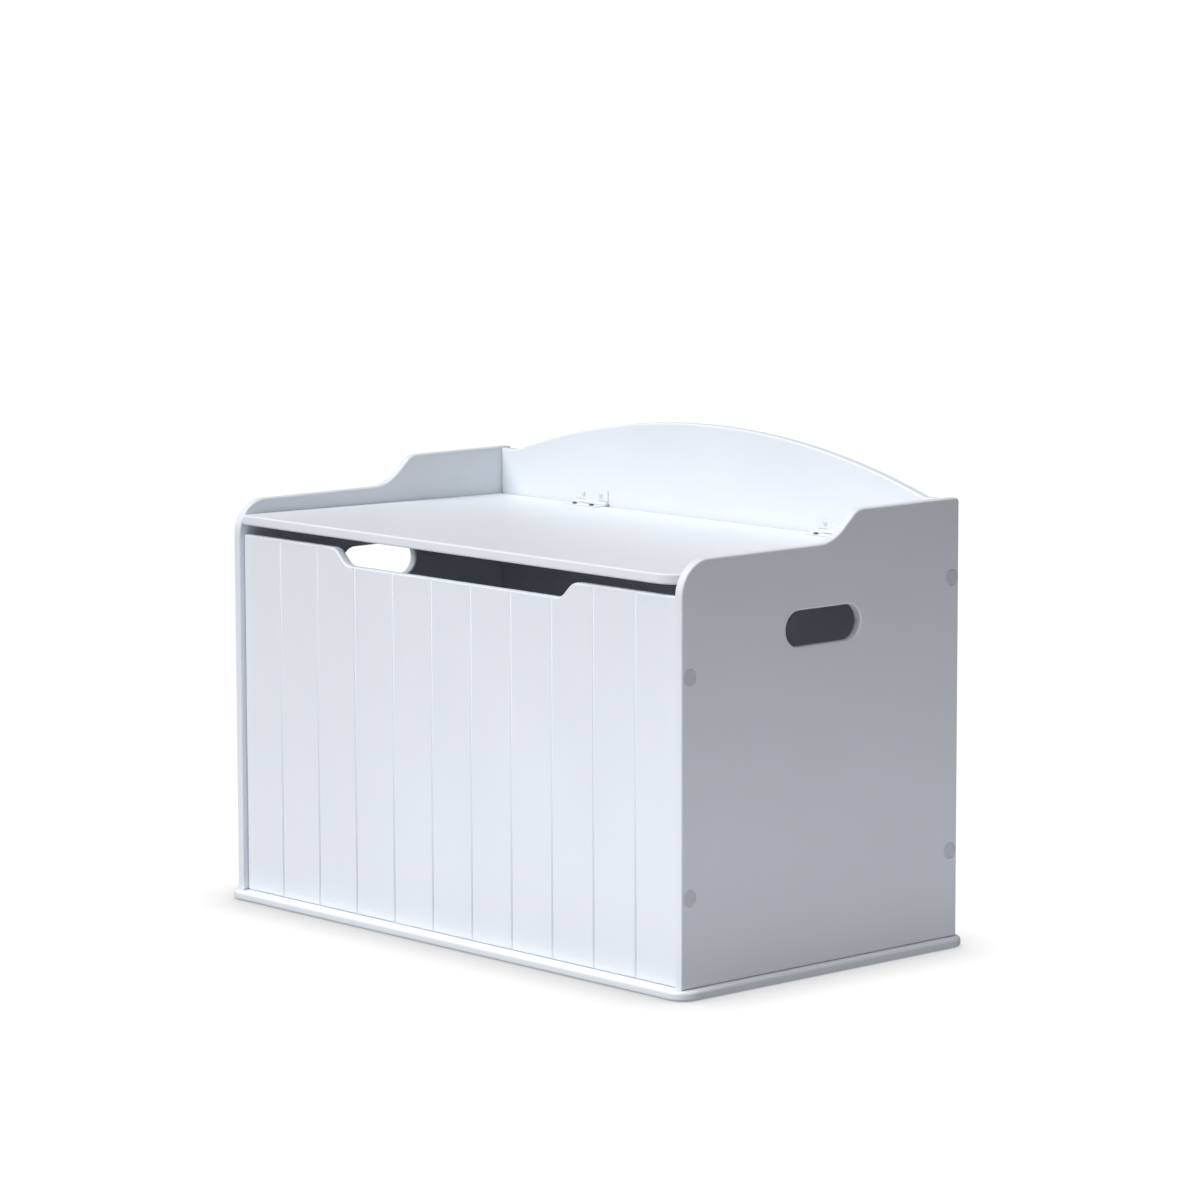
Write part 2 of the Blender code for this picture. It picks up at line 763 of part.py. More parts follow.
def connector_profile():
    seat = -cap_thickness - fit_gap
    end = -cap_thickness - connector_length
    return [
        (0, seat),
        (connector_head, seat),
        (connector_head, seat - connector_head_depth),
        (connector_shank, seat - connector_head_depth),
        (connector_shank, end + connector_shank),
        (0, end),
    ]


def cap_profile():
    return [
        (0, cap_proud),
        (cap_radius - cap_chamfer, cap_proud),
        (cap_radius, cap_proud - cap_chamfer),
        (cap_radius, -cap_thickness),
        (0, -cap_thickness),
    ]


def panel_connectors(side, sign):
    for where, number, y, z in connector_places():
        frame = connector_frame(sign, y, z)
        turned(f"{side}_{where}_connector_{number}", connector_profile(), frame, ZINC_STEEL)
        turned(f"{side}_{where}_screw_cap_{number}", cap_profile(), frame, PAINTED_CAP, cap_sides)


def base_screw_places():
    return enumerate((-base_screw_from_middle, base_screw_from_middle), start=1)


def base_screw_frame(sign, y, z):
    """Under a side panel at height Z, its local Z pointing down."""
    return Matrix.Translation((sign * (outer - board / 2), y, z)) @ Matrix.Rotation(2 * quarter, 4, "X")


def base_screws(side, sign):
    profile = [
        (0, -base_screw_recess),
        (base_screw_head, -base_screw_recess),
        (base_screw_head, -base_screw_recess - base_screw_head_rim),
        (base_screw_shank, -base_screw_recess - base_screw_head_depth),
        (base_screw_shank, -base_screw_length + base_screw_shank),
        (0, -base_screw_length),
    ]
    for number, y in base_screw_places():
        turned(f"{side}_base_screw_{number}", profile, base_screw_frame(sign, y, 0), ZINC_STEEL)


# --- The box ----------------------------------------------------------------------------------

clear_scene()
parts = new_collection("toy_box")
cutters = new_collection("cutters")
cutters.hide_render = True

base_plate()
front_panel()
back_panel()
lid_joint = joint_empty("lid_joint", hinge_axis)
hang(lid(), lid_joint)
for side, sign in SIDES:
    side_panel(side, sign)
    lid_rest(side, sign)
    hinge(side, sign, lid_joint)
    lid_stay(side, sign, lid_joint)
    panel_connectors(side, sign)
    base_screws(side, sign)
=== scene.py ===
"""The looks of a painted bench toy box: finely rounded boards, hinges, lid stays, screws and satin paint.

Metres, +Z up. The front faces -Y.
"""

import json
import math

import bmesh
import bpy
from mathutils import Matrix, Vector


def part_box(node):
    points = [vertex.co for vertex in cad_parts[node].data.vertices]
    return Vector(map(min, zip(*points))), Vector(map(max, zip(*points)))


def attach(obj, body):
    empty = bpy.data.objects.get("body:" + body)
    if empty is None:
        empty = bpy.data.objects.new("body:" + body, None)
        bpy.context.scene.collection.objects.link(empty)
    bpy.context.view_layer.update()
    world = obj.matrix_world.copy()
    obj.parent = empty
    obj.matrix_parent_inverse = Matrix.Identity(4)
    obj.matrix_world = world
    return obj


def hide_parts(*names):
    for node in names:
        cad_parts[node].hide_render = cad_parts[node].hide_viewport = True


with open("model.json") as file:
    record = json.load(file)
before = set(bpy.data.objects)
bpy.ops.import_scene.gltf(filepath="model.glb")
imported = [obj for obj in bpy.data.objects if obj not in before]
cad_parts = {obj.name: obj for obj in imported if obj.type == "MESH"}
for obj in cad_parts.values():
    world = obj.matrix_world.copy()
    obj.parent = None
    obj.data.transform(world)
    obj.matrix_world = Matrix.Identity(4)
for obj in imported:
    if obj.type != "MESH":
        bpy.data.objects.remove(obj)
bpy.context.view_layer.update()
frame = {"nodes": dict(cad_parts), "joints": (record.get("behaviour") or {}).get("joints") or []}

# --- Sizes of the boards that their boxes don't tell ---

fit_gap = 0.0003
board_round = 0.0026
base_round = 0.004
base_corner = 0.025

arm_drop = 0.0365
side_front_corner = 0.042
swoop_start = 0.2183
swoop_foot_radius = 0.060
swoop_head_radius = 0.025
swoop_angle = math.radians(42)
side_rear_corner = 0.006
hand_slot_length = 0.122
hand_slot_height = 0.043
hand_slot_drop = 0.132

notch_half_width = 0.217
notch_depth = 0.0205
notch_run = 0.021
notch_corner = 0.022
boards_in_front = 11
groove_width = 0.0034
groove_shoulder = 0.0020  # radius that the paint leaves on each lip of a groove
groove_floor = 0.0016

arch_rise = 0.059
arch_half_width = 0.368

lid_rise = math.radians(0.96)
lid_right_corner = 0.034
lid_left_corner = 0.006

# --- Sizes of the hinges, stays, rests and screws ---

leaf_thickness = 0.0007
leaf_edge = 0.0002
lid_leaf_reach = 0.021
back_leaf_reach = 0.017
hinge_width = 0.060
knuckle_radius = 0.00275
middle_knuckle = 0.024
knuckle_gap = 0.0004
hinge_pin_radius = 0.0014
hinge_pin_head = 0.0023
hinge_pin_head_height = 0.0012
hinge_screw_spacing = 0.032
lid_leaf_screw = 0.0135
back_leaf_screw = 0.0105
hinge_screw_hole = 0.0019
sink_mouth = 0.0030
sink_throat = 0.0020
sink_depth = 0.0006

stay_plate = 0.002
stay_edge = 0.0004
stay_arm_width = 0.015
stay_pin_radius = 0.003
stay_pin_head = 0.005
stay_pin_head_height = 0.0014
housing_corner = 0.008
housing_round = 0.0012
housing_screw_across = 0.022
housing_screw_share = 0.17  # of the housing's length, from its front end
housing_pocket = 0.0034  # radius of a screw's pocket, and its depth
housing_bore_share = 0.6  # of the housing's thickness
housing_ring_radius = 0.0078
housing_ring_depth = 0.0005  # half the ring's width
bracket_flange = 0.018
bracket_bend = 0.0028
bracket_drop = 0.020
bracket_screw_spacing = 0.022
bracket_screw_share = 0.6  # of the flange's width, from the ear

rest_corner = 0.004
rest_edge = 0.0012
rest_screw_spacing = 0.072
rest_pocket = 0.0036
rest_pocket_depth = 0.0022
rest_screw_sunk = 0.0020
pad_round = 0.002

cap_dish = 0.00012
cap_dish_floor = 0.72  # shares of the cap's radius
cap_dish_slope = 0.80
pocket_clearance = 0.0001
cap_thickness = 0.0016
connector_head = 0.0048
connector_head_depth = 0.0045
connector_shank = 0.0032
connector_length = 0.046
base_screw_shank = 0.002
base_screw_length = 0.036
base_screw_recess = 0.0008
base_screw_head_depth = 0.0021
base_screw_slot = 0.0012

# --- Fineness ---

arc_step = math.radians(4)
arch_step = math.radians(0.5)
edge_steps = 5
round_sides = 48
screw_sides = 32
overrun = 0.002
weld_distance = 0.000001
sharp_angle = math.radians(48)
quarter = math.pi / 2
SIDES = (("left", -1), ("right", 1))

# --- Places read from the frame ---

joint_places = {joint["name"]: Vector(joint["pos_m"]) for joint in frame["joints"]}
hinge_axis = joint_places["lid_hinge"]
lid_frame = Matrix.Translation(hinge_axis) @ Matrix.Rotation(-lid_rise, 4, "X")
lid_top = -knuckle_radius - fit_gap

side_low, side_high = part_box("right_side_panel")
board = side_high.x - side_low.x
outer = side_high.x
inner = side_low.x
front_low, front_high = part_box("front_panel")
back_low, back_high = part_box("back_panel")
base_low, base_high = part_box("base_plate")
lid_low, lid_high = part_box("lid")


def middle_of(node):
    low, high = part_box(node)
    return (low + high) / 2


# --- Outlines ---


def arc(centre, radius, start, end, step=arc_step):
    """Points from angle start to angle end, both included."""
    count = max(2, math.ceil(abs(end - start) / step))
    angles = [start + (end - start) * k / count for k in range(count + 1)]
    return [(centre[0] + radius * math.cos(a), centre[1] + radius * math.sin(a)) for a in angles]


def circle(centre, radius):
    return arc(centre, radius, 0, 4 * quarter, 4 * quarter / round_sides)[:-1]


def dome_angles(steps):
    """Angles from the crown of a dome down to its rim."""
    return [k * quarter / steps for k in range(steps + 1)]


def rounded_rectangle(left, right, low, high, radius):
    corners = ((right, high, 0), (left, high, 1), (left, low, 2), (right, low, 3))
    points = []
    for u, v, turn in corners:
        inward_u = math.copysign(radius, (left + right) / 2 - u)
        inward_v = math.copysign(radius, (low + high) / 2 - v)
        points += arc((u + inward_u, v + inward_v), radius, turn * quarter, (turn + 1) * quarter)
    return points


def side_outline():
    """Side board from the side: U is Y and V is Z."""
    arm_height = side_high.z - arm_drop
    radii = swoop_foot_radius + swoop_head_radius
    straight = (arm_drop - radii * (1 - math.cos(swoop_angle))) / math.sin(swoop_angle)
    run = radii * math.sin(swoop_angle) + straight * math.cos(swoop_angle)
    start = side_low.y + swoop_start
    rear_centre = (side_high.y - side_rear_corner, side_high.z - side_rear_corner)
    head_centre = (start + run, side_high.z - swoop_head_radius)
    foot_centre = (start, arm_height + swoop_foot_radius)
    front_centre = (side_low.y + side_front_corner, arm_height - side_front_corner)
    points = [(side_high.y, side_low.z)]
    points += arc(rear_centre, side_rear_corner, 0, quarter)
    points += arc(head_centre, swoop_head_radius, quarter, quarter + swoop_angle)
    points += arc(foot_centre, swoop_foot_radius, swoop_angle - quarter, -quarter)
    points += arc(front_centre, side_front_corner, quarter, 2 * quarter)
    points.append((side_low.y, side_low.z))
    return points


def hand_slot_outline():
    half = hand_slot_length / 2
    middle = side_high.z - hand_slot_drop
    end = hand_slot_height / 2
    return rounded_rectangle(-half, half, middle - end, middle + end, end)


def front_outline():
    """Front board from the front, with the finger notch in its top edge."""
    half = front_high.x
    high = front_high.z
    slope = math.atan2(notch_depth, notch_run)
    tangent = notch_corner * math.tan(slope / 2)
    top_centre = (notch_half_width + tangent, high - notch_corner)
    low_centre = (notch_half_width - notch_run - tangent, high - notch_depth + notch_corner)
    right = arc(top_centre, notch_corner, quarter, quarter + slope)
    right += arc(low_centre, notch_corner, slope - quarter, -quarter)
    left = [(-u, v) for u, v in reversed(right)]
    foot = front_low.z
    return [(half, foot), (half, high), *right, *left, (-half, high), (-half, foot)]


def back_outline():
    """Back board from the front: a shallow arch between two level shoulders."""
    half = back_high.x
    high = back_high.z
    radius = (arch_half_width**2 + arch_rise**2) / (2 * arch_rise)
    spread = math.asin(arch_half_width / radius)
    arch = arc((0, high - radius), radius, quarter - spread, quarter + spread, arch_step)
    shoulder = high - arch_rise
    return [(half, back_low.z), (half, shoulder), *arch, (-half, shoulder), (-half, back_low.z)]


def lid_outline():
    """Lid from above in its own frame: V runs from front to back, from the hinge axis."""
    sag = (lid_top - board / 2) * math.sin(lid_rise)
    front = (lid_low.y - hinge_axis.y - sag) / math.cos(lid_rise)
    rear = (lid_high.y - hinge_axis.y - sag) / math.cos(lid_rise)
    half = lid_high.x
    left_centre = (-half + lid_left_corner, front + lid_left_corner)
    right_centre = (half - lid_right_corner, front + lid_right_corner)
    left = arc(left_centre, lid_left_corner, 2 * quarter, 3 * quarter)
    right = arc(right_centre, lid_right_corner, 3 * quarter, 4 * quarter)
    return [(half, rear), (-half, rear), *left, *right]


def groove_outline():
    """A V groove from above with softened lips: U runs along the board and V out of it."""
    half = groove_width / 2
    lip = groove_shoulder * math.tan(quarter / 4)
    turn = quarter / 2
    left_lip = arc((-half - lip, -groove_shoulder), groove_shoulder, quarter, quarter - turn)
    floor_centre = (0, -half + groove_floor * math.sqrt(2))
    floor = arc(floor_centre, groove_floor, 2 * quarter + turn, 3 * quarter + turn)
    right_lip = [(-u, v) for u, v in reversed(left_lip)]
    clear = overrun / 10  # just out of the board's face
    left_top = (left_lip[0][0] - overrun, clear)
    right_top = (right_lip[-1][0] + overrun, clear)
    return [left_top, *left_lip, *floor, *right_lip, right_top]


# --- Making meshes ---


def axes_matrix(u, v, origin):
    """The frame whose local X and Y run along u and v, at origin."""
    u, v = Vector(u), Vector(v)
    matrix = Matrix((u, v, u.cross(v))).transposed().to_4x4()
    return Matrix.Translation(origin) @ matrix


def new_object(name, data):
    obj = bpy.data.objects.new(name, data)
    bpy.context.scene.collection.objects.link(obj)
    return obj


def plain_mesh(obj):
    bpy.context.view_layer.update()
    graph = bpy.context.evaluated_depsgraph_get()
    shown = obj.evaluated_get(graph)
    return bpy.data.meshes.new_from_object(shown, preserve_all_data_layers=True, depsgraph=graph)


def settle(obj):
    """Turns the object's modifiers into its plain mesh."""
    mesh = plain_mesh(obj)
    obj.modifiers.clear()
    obj.data = mesh
    return obj


def weld(mesh):
    shape = bmesh.new()
    shape.from_mesh(mesh)
    bmesh.ops.remove_doubles(shape, verts=shape.verts, dist=weld_distance)
    shape.to_mesh(mesh)
    shape.free()


def flat_piece(name, outlines, thickness, place, edge, steps=edge_steps):
    """A flat outline, the others being its holes, made thick with its edges rounded."""
    curve = bpy.data.curves.new(name, "CURVE")
    curve.dimensions = "2D"
    curve.fill_mode = "BOTH"
    curve.extrude = thickness / 2 - edge
    curve.bevel_depth = edge
    curve.bevel_resolution = steps - 1
    curve.offset = -edge
    for outline in outlines:
        spline = curve.splines.new("POLY")
        spline.points.add(len(outline) - 1)
        spline.use_cyclic_u = True
        for point, (u, v) in zip(spline.points, outline):
            point.co = (u, v, 0.0, 1.0)
    drawn = new_object(name + "_drawn", curve)
    mesh = plain_mesh(drawn)
    bpy.data.objects.remove(drawn, do_unlink=True)
    weld(mesh)
    mesh.transform(place)
    return new_object(name, mesh)


def turned_piece(name, profile, place, sides=round_sides):
    """A turned piece: profile is (radius, height) from the top down, about the frame's Z axis."""
    mesh = bpy.data.meshes.new(name)
    points = [(radius, 0.0, height) for radius, height in profile]
    mesh.from_pydata(points, [(k, k + 1) for k in range(len(points) - 1)], [])
    obj = new_object(name, mesh)
    turn = obj.modifiers.new("turn", "SCREW")
    turn.steps = sides
    turn.render_steps = sides
    turn.use_merge_vertices = True
    turn.merge_threshold = weld_distance
    settle(obj)
    obj.data.transform(place)
    return obj


def block(name, size, place):
    shape = bmesh.new()
    bmesh.ops.create_cube(shape, size=1.0, matrix=place @ Matrix.Diagonal((*size, 1.0)))
    mesh = bpy.data.meshes.new(name)
    shape.to_mesh(mesh)
    shape.free()
    return new_object(name, mesh)


def cut(target, cutter):
    boolean = target.modifiers.new("cut", "BOOLEAN")
    boolean.operation = "DIFFERENCE"
    boolean.solver = "EXACT"
    boolean.object = cutter
    settle(target)
    bpy.data.objects.remove(cutter, do_unlink=True)


def drill(target, steps, place):
    """A stepped round hole: steps is (radius, depth) from the mouth inwards, along the frame's -Z."""
    profile = [(0.0, overrun)]
    for radius, depth in steps:
        profile += [(radius, profile[-1][1]), (radius, -depth)]
    profile.append((0.0, -steps[-1][1]))
    cut(target, turned_piece("drill", profile, place))


def smooth(obj):
    """Flat faces stay flat, and rounded edges run smoothly into them."""
    obj.data.shade_smooth()
    obj.data.set_sharp_from_angle(angle=sharp_angle)
    weigh = obj.modifiers.new("weigh", "WEIGHTED_NORMAL")
    weigh.keep_sharp = True
    return settle(obj)


def mark_edges(obj, place, thickness, depth):
    """Stores how far each point lies in from the board's two faces, for the paint on its edges."""
    inverse = place.inverted()
    attribute = obj.data.attributes.new("edge", "FLOAT", "POINT")
    for point, value in zip(obj.data.vertices, attribute.data):
        inward = thickness / 2 - abs((inverse @ point.co).z)
        value.value = min(1.0, max(0.0, inward / depth))


def fit(obj, finish, body, *nodes):
    """Gives a finished piece its material and its body, and hides the CAD nodes that it stands for."""
    obj.data.materials.clear()
    obj.data.materials.append(finishes[finish])
    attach(obj, body)
    if nodes:
        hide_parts(*nodes)
    return obj


# --- Rows by Geometry Nodes ---


def tree_with(name, sockets):
    tree = bpy.data.node_groups.new(name, "GeometryNodeTree")
    for label, kind in sockets:
        tree.interface.new_socket(label, in_out="INPUT", socket_type="NodeSocket" + kind)
    tree.interface.new_socket("Geometry", in_out="OUTPUT", socket_type="NodeSocketGeometry")
    return tree, tree.nodes.new("NodeGroupInput"), tree.nodes.new("NodeGroupOutput")


def maths(tree, operation, first, second):
    """One operation on two values, each a number or a socket."""
    node = tree.nodes.new("ShaderNodeMath")
    node.operation = operation
    for socket, value in zip(node.inputs, (first, second)):
        if isinstance(value, (int, float)):
            socket.default_value = value
        else:
            tree.links.new(value, socket)
    return node.outputs[0]


def along_axis(tree, axis, value):
    node = tree.nodes.new("ShaderNodeCombineXYZ")
    tree.links.new(value, node.inputs[axis])
    return node.outputs[0]


def row_nodes(tree, source):
    """Count copies of Piece along X, centred, each turned about its own axis by up to Turn."""
    given = source.outputs
    gaps = maths(tree, "SUBTRACT", given["Count"], 1)
    length = maths(tree, "MULTIPLY", gaps, given["Spacing"])
    start = along_axis(tree, "X", maths(tree, "MULTIPLY", length, -0.5))
    step = along_axis(tree, "X", given["Spacing"])
    line = tree.nodes.new("GeometryNodeMeshLine")
    tree.links.new(given["Count"], line.inputs["Count"])
    tree.links.new(start, line.inputs["Start Location"])
    tree.links.new(step, line.inputs["Offset"])
    chance = tree.nodes.new("FunctionNodeRandomValue")
    chance.data_type = "FLOAT_VECTOR"
    tree.links.new(along_axis(tree, "Z", given["Turn"]), chance.inputs["Max"])
    tree.links.new(given["Seed"], chance.inputs["Seed"])
    piece = tree.nodes.new("GeometryNodeObjectInfo")
    tree.links.new(given["Piece"], piece.inputs["Object"])
    copies = tree.nodes.new("GeometryNodeInstanceOnPoints")
    tree.links.new(line.outputs["Mesh"], copies.inputs["Points"])
    tree.links.new(piece.outputs["Geometry"], copies.inputs["Instance"])
    tree.links.new(chance.outputs["Value"], copies.inputs["Rotation"])
    return copies.outputs["Instances"]


def close_tree(tree, source, result, geometry):
    real = tree.nodes.new("GeometryNodeRealizeInstances")
    tree.links.new(geometry, real.inputs["Geometry"])
    dress = tree.nodes.new("GeometryNodeSetMaterial")
    tree.links.new(real.outputs["Geometry"], dress.inputs["Geometry"])
    tree.links.new(source.outputs["Material"], dress.inputs["Material"])
    tree.links.new(dress.outputs["Geometry"], result.inputs["Geometry"])


ROW_SOCKETS = (
    ("Geometry", "Geometry"),
    ("Piece", "Object"),
    ("Count", "Int"),
    ("Spacing", "Float"),
    ("Turn", "Float"),
    ("Seed", "Int"),
    ("Material", "Material"),
)


def piece_row_tree():
    tree, source, result = tree_with("row_of_pieces", ROW_SOCKETS)
    close_tree(tree, source, result, row_nodes(tree, source))
    return tree


def cut_row_tree():
    tree, source, result = tree_with("row_of_cuts", ROW_SOCKETS)
    real = tree.nodes.new("GeometryNodeRealizeInstances")
    tree.links.new(row_nodes(tree, source), real.inputs["Geometry"])
    carve = tree.nodes.new("GeometryNodeMeshBoolean")
    carve.operation = "DIFFERENCE"
    carve.solver = "EXACT"
    tree.links.new(source.outputs["Geometry"], carve.inputs["Mesh 1"])
    tree.links.new(real.outputs["Geometry"], carve.inputs["Mesh 2"])
    close_tree(tree, source, result, carve.outputs["Mesh"])
    return tree


def run_tree(obj, tree, values):
    modifier = obj.modifiers.new(tree.name, "NODES")
    modifier.node_group = tree
    for item in tree.interface.items_tree:
        if item.in_out == "INPUT" and item.name in values:
            modifier[item.identifier] = values[item.name]
    return settle(obj)


def cut_row(target, cutter, count, spacing, finish):
    """Cuts a row of the same shape along X. The cutter's mesh lies at the middle of the row."""
    material = finishes[finish]
    values = {"Piece": cutter, "Count": count, "Spacing": spacing, "Turn": 0.0, "Material": material}
    run_tree(target, trees["cuts"], values)
    bpy.data.objects.remove(cutter, do_unlink=True)


def piece_row(name, piece, count, spacing, place, finish, seed):
    """A row of pieces along the frame's X, each turned by chance about its own Z."""
    row = new_object(name, bpy.data.meshes.new(name))
    values = {
        "Piece": piece,
        "Count": count,
        "Spacing": spacing,
        "Turn": 4 * quarter,
        "Seed": seed,
        "Material": finishes[finish],
    }
    run_tree(row, trees["pieces"], values)
    row.data.transform(place)
    return row


# --- Screws ---


def cross_recess(obj, mouth_height, size):
    """Two crossed slots of the given size, centred at the head's face."""
    for turn in (0, quarter):
        place = Matrix.Translation((0, 0, mouth_height)) @ Matrix.Rotation(turn, 4, "Z")
        cut(obj, block("recess", size, place))


def screw(head, height, rim, shank, length, recess):
    """A pan-head cross-recess screw whose head is seated at height 0."""
    profile = [(head * math.sin(a), rim + (height - rim) * math.cos(a)) for a in dome_angles(steps=7)]
    profile += [(head, 0), (shank, 0), (shank, shank - length), (0, -length)]
    obj = turned_piece("screw", profile, Matrix.Identity(4), screw_sides)
    slot_length = head * 1.1
    slot_height = height * 1.2
    cross_recess(obj, height, (slot_length, recess, slot_height))
    return smooth(obj)


def flat_screw(head, depth, shank, length, recess):
    """A countersunk cross-recess screw whose head's face is at height 0."""
    rim = depth * 0.2
    profile = [(0, 0), (head - rim / 2, 0), (head, -rim / 2), (head, -rim), (shank, -depth)]
    profile += [(shank, shank - length), (0, -length)]
    obj = turned_piece("flat_screw", profile, Matrix.Identity(4), screw_sides)
    slot_length = head * 1.2
    slot_height = depth * 1.1
    cross_recess(obj, 0, (slot_length, recess, slot_height))
    return smooth(obj)


def hinge_screw():
    return screw(head=0.0034, height=0.0016, rim=0.0005, shank=0.0016, length=0.0105, recess=0.0009)


def small_screw():
    return screw(head=0.0029, height=0.0013, rim=0.0004, shank=0.0014, length=0.0095, recess=0.0008)


def put_screws(name, make, count, spacing, place, finish, body, seed, nodes=()):
    model = make()
    row = piece_row(name, model, count, spacing, place, finish, seed)
    bpy.data.objects.remove(model, do_unlink=True)
    return fit(row, finish, body, *nodes)


# --- Materials ---


def shader_of(name):
    material = bpy.data.materials.new(name)
    material.use_nodes = True
    tree = material.node_tree
    return material, tree, tree.nodes["Principled BSDF"]


def noise(tree, scale, detail=2.0, stretch=(1, 1, 1)):
    """Cloudy values from 0 to 1 over the object's own coordinates; scale is patches a metre."""
    place = tree.nodes.new("ShaderNodeTexCoord")
    mapping = tree.nodes.new("ShaderNodeMapping")
    mapping.inputs["Scale"].default_value = stretch
    cloud = tree.nodes.new("ShaderNodeTexNoise")
    cloud.inputs["Scale"].default_value = scale
    cloud.inputs["Detail"].default_value = detail
    tree.links.new(place.outputs["Object"], mapping.inputs["Vector"])
    tree.links.new(mapping.outputs["Vector"], cloud.inputs["Vector"])
    return cloud.outputs["Fac"]


def ramp(tree, value, start, end, first, last):
    """Maps start to end onto first to last, and holds the ends."""
    node = tree.nodes.new("ShaderNodeMapRange")
    for label, number in zip(("From Min", "From Max", "To Min", "To Max"), (start, end, first, last)):
        node.inputs[label].default_value = number
    tree.links.new(value, node.inputs["Value"])
    return node.outputs["Result"]


def spread(tree, value, low, high):
    """Maps a noise's usual range onto low to high."""
    return ramp(tree, value, 0.3, 0.7, low, high)


def blend_colours(tree, share, first, second):
    node = tree.nodes.new("ShaderNodeMix")
    node.data_type = "RGBA"
    tree.links.new(share, node.inputs["Factor"])
    for socket, colour in zip(node.inputs[6:8], (first, second)):
        if isinstance(colour, tuple):
            socket.default_value = (*colour, 1.0)
        else:
            tree.links.new(colour, socket)
    return node.outputs[2]


def bumps(tree, shader, layers):
    """Stacks bump layers of (height value, height in metres) into the shader's normal."""
    normal = None
    for value, height in layers:
        bump = tree.nodes.new("ShaderNodeBump")
        bump.inputs["Distance"].default_value = height
        tree.links.new(value, bump.inputs["Height"])
        if normal is not None:
            tree.links.new(normal, bump.inputs["Normal"])
        normal = bump.outputs["Normal"]
    tree.links.new(normal, shader.inputs["Normal"])


paint_colour = (0.822, 0.860, 0.910)


def tint(colour, share):
    return tuple(channel * share for channel in colour)


def two_tones(tree, shader, clouds, first, second):
    """Lets the base colour drift between two tones."""
    share = spread(tree, clouds, 0, 1)
    tree.links.new(blend_colours(tree, share, first, second), shader.inputs["Base Color"])


def uneven_gloss(tree, shader, clouds, low, high):
    tree.links.new(spread(tree, clouds, low, high), shader.inputs["Roughness"])


def white_paint():
    """Sprayed satin paint: fine orange peel, slow waves, and drier, rougher paint on the cut edges."""
    material, tree, shader = shader_of("white_paint")
    cloud = spread(tree, noise(tree, 7), 0, 1)
    face = blend_colours(tree, cloud, paint_colour, tint(paint_colour, 0.975))
    mark = tree.nodes.new("ShaderNodeAttribute")
    mark.attribute_name = "edge"
    fibre = spread(tree, noise(tree, 900, detail=3), 0.35, 1)
    dry = maths(tree, "MULTIPLY", mark.outputs["Fac"], fibre)
    colour = blend_colours(tree, dry, face, tint(paint_colour, 0.955))
    tree.links.new(colour, shader.inputs["Base Color"])
    satin = spread(tree, noise(tree, 60), 0.36, 0.43)
    edge_roughness = maths(tree, "MULTIPLY", mark.outputs["Fac"], 0.09)
    tree.links.new(maths(tree, "ADD", satin, edge_roughness), shader.inputs["Roughness"])
    peel = noise(tree, 620)
    wave = noise(tree, 28, detail=1)
    bumps(tree, shader, ((wave, 0.00012), (peel, 0.00003), (dry, 0.00002)))
    return material


def white_metal():
    """Semi-gloss paint over steel, with brushed-out runs and thin spots."""
    material, tree, shader = shader_of("white_metal")
    thin = noise(tree, 240, detail=3)
    two_tones(tree, shader, thin, paint_colour, tint(paint_colour, 0.94))
    uneven_gloss(tree, shader, noise(tree, 400), 0.42, 0.50)
    bumps(tree, shader, ((noise(tree, 500), 0.00004),))
    return material


def cap_plastic():
    """Moulded cap, a shade greyer than the paint, with a fine sparked texture."""
    material, tree, shader = shader_of("cap_plastic")
    plastic = (0.665, 0.69, 0.735)
    two_tones(tree, shader, noise(tree, 180), plastic, tint(plastic, 0.96))
    uneven_gloss(tree, shader, noise(tree, 1500), 0.42, 0.52)
    bumps(tree, shader, ((noise(tree, 2400), 0.00002),))
    return material


def zinc_steel():
    """Zinc-plated steel: pale bluish and yellowish passivation over drawn lines."""
    material, tree, shader = shader_of("zinc_steel")
    shader.inputs["Metallic"].default_value = 1.0
    bluish = (0.60, 0.61, 0.62)
    yellowish = (0.66, 0.64, 0.58)
    two_tones(tree, shader, noise(tree, 90, detail=3), bluish, yellowish)
    lines = noise(tree, 900, stretch=(1, 0.12, 0.12))
    uneven_gloss(tree, shader, lines, 0.24, 0.40)
    bumps(tree, shader, ((lines, 0.000012),))
    return material


def dark_steel():
    """Near-black steel for the screws in the lid's leaves, mottled at random with a browner grey."""
    material, tree, shader = shader_of("dark_steel")
    shader.inputs["Metallic"].default_value = 0.75
    black = (0.060, 0.060, 0.066)
    worn = (0.11, 0.105, 0.10)
    two_tones(tree, shader, noise(tree, 800, detail=3), black, worn)
    uneven_gloss(tree, shader, noise(tree, 1400), 0.34, 0.50)
    bumps(tree, shader, ((noise(tree, 1600), 0.00002),))
    return material


def stay_plastic():
    """Grey nylon housing with a matt moulded grain."""
    material, tree, shader = shader_of("stay_plastic")
    nylon = (0.42, 0.43, 0.45)
    flow = noise(tree, 50, stretch=(1, 0.4, 1))
    two_tones(tree, shader, flow, nylon, tint(nylon, 0.93))
    uneven_gloss(tree, shader, noise(tree, 900), 0.44, 0.58)
    bumps(tree, shader, ((noise(tree, 1300, detail=3), 0.00004),))
    return material


def pad_rubber():
    """Matt rubber with a faint bloom."""
    material, tree, shader = shader_of("pad_rubber")
    rubber = (0.60, 0.60, 0.59)
    two_tones(tree, shader, noise(tree, 220, detail=3), rubber, tint(rubber, 0.90))
    uneven_gloss(tree, shader, noise(tree, 700), 0.66, 0.80)
    bumps(tree, shader, ((noise(tree, 1100), 0.00004),))
    return material


FINISH_MAKERS = (white_paint, white_metal, cap_plastic, zinc_steel, dark_steel, stay_plastic, pad_rubber)


# --- Boards ---


def connector_holes(where):
    """(side, sign, middle) of each screw that goes into the named board."""
    for side, sign in SIDES:
        for number in (1, 2):
            yield side, sign, middle_of(f"{side}_{where}_screw_cap_{number}")


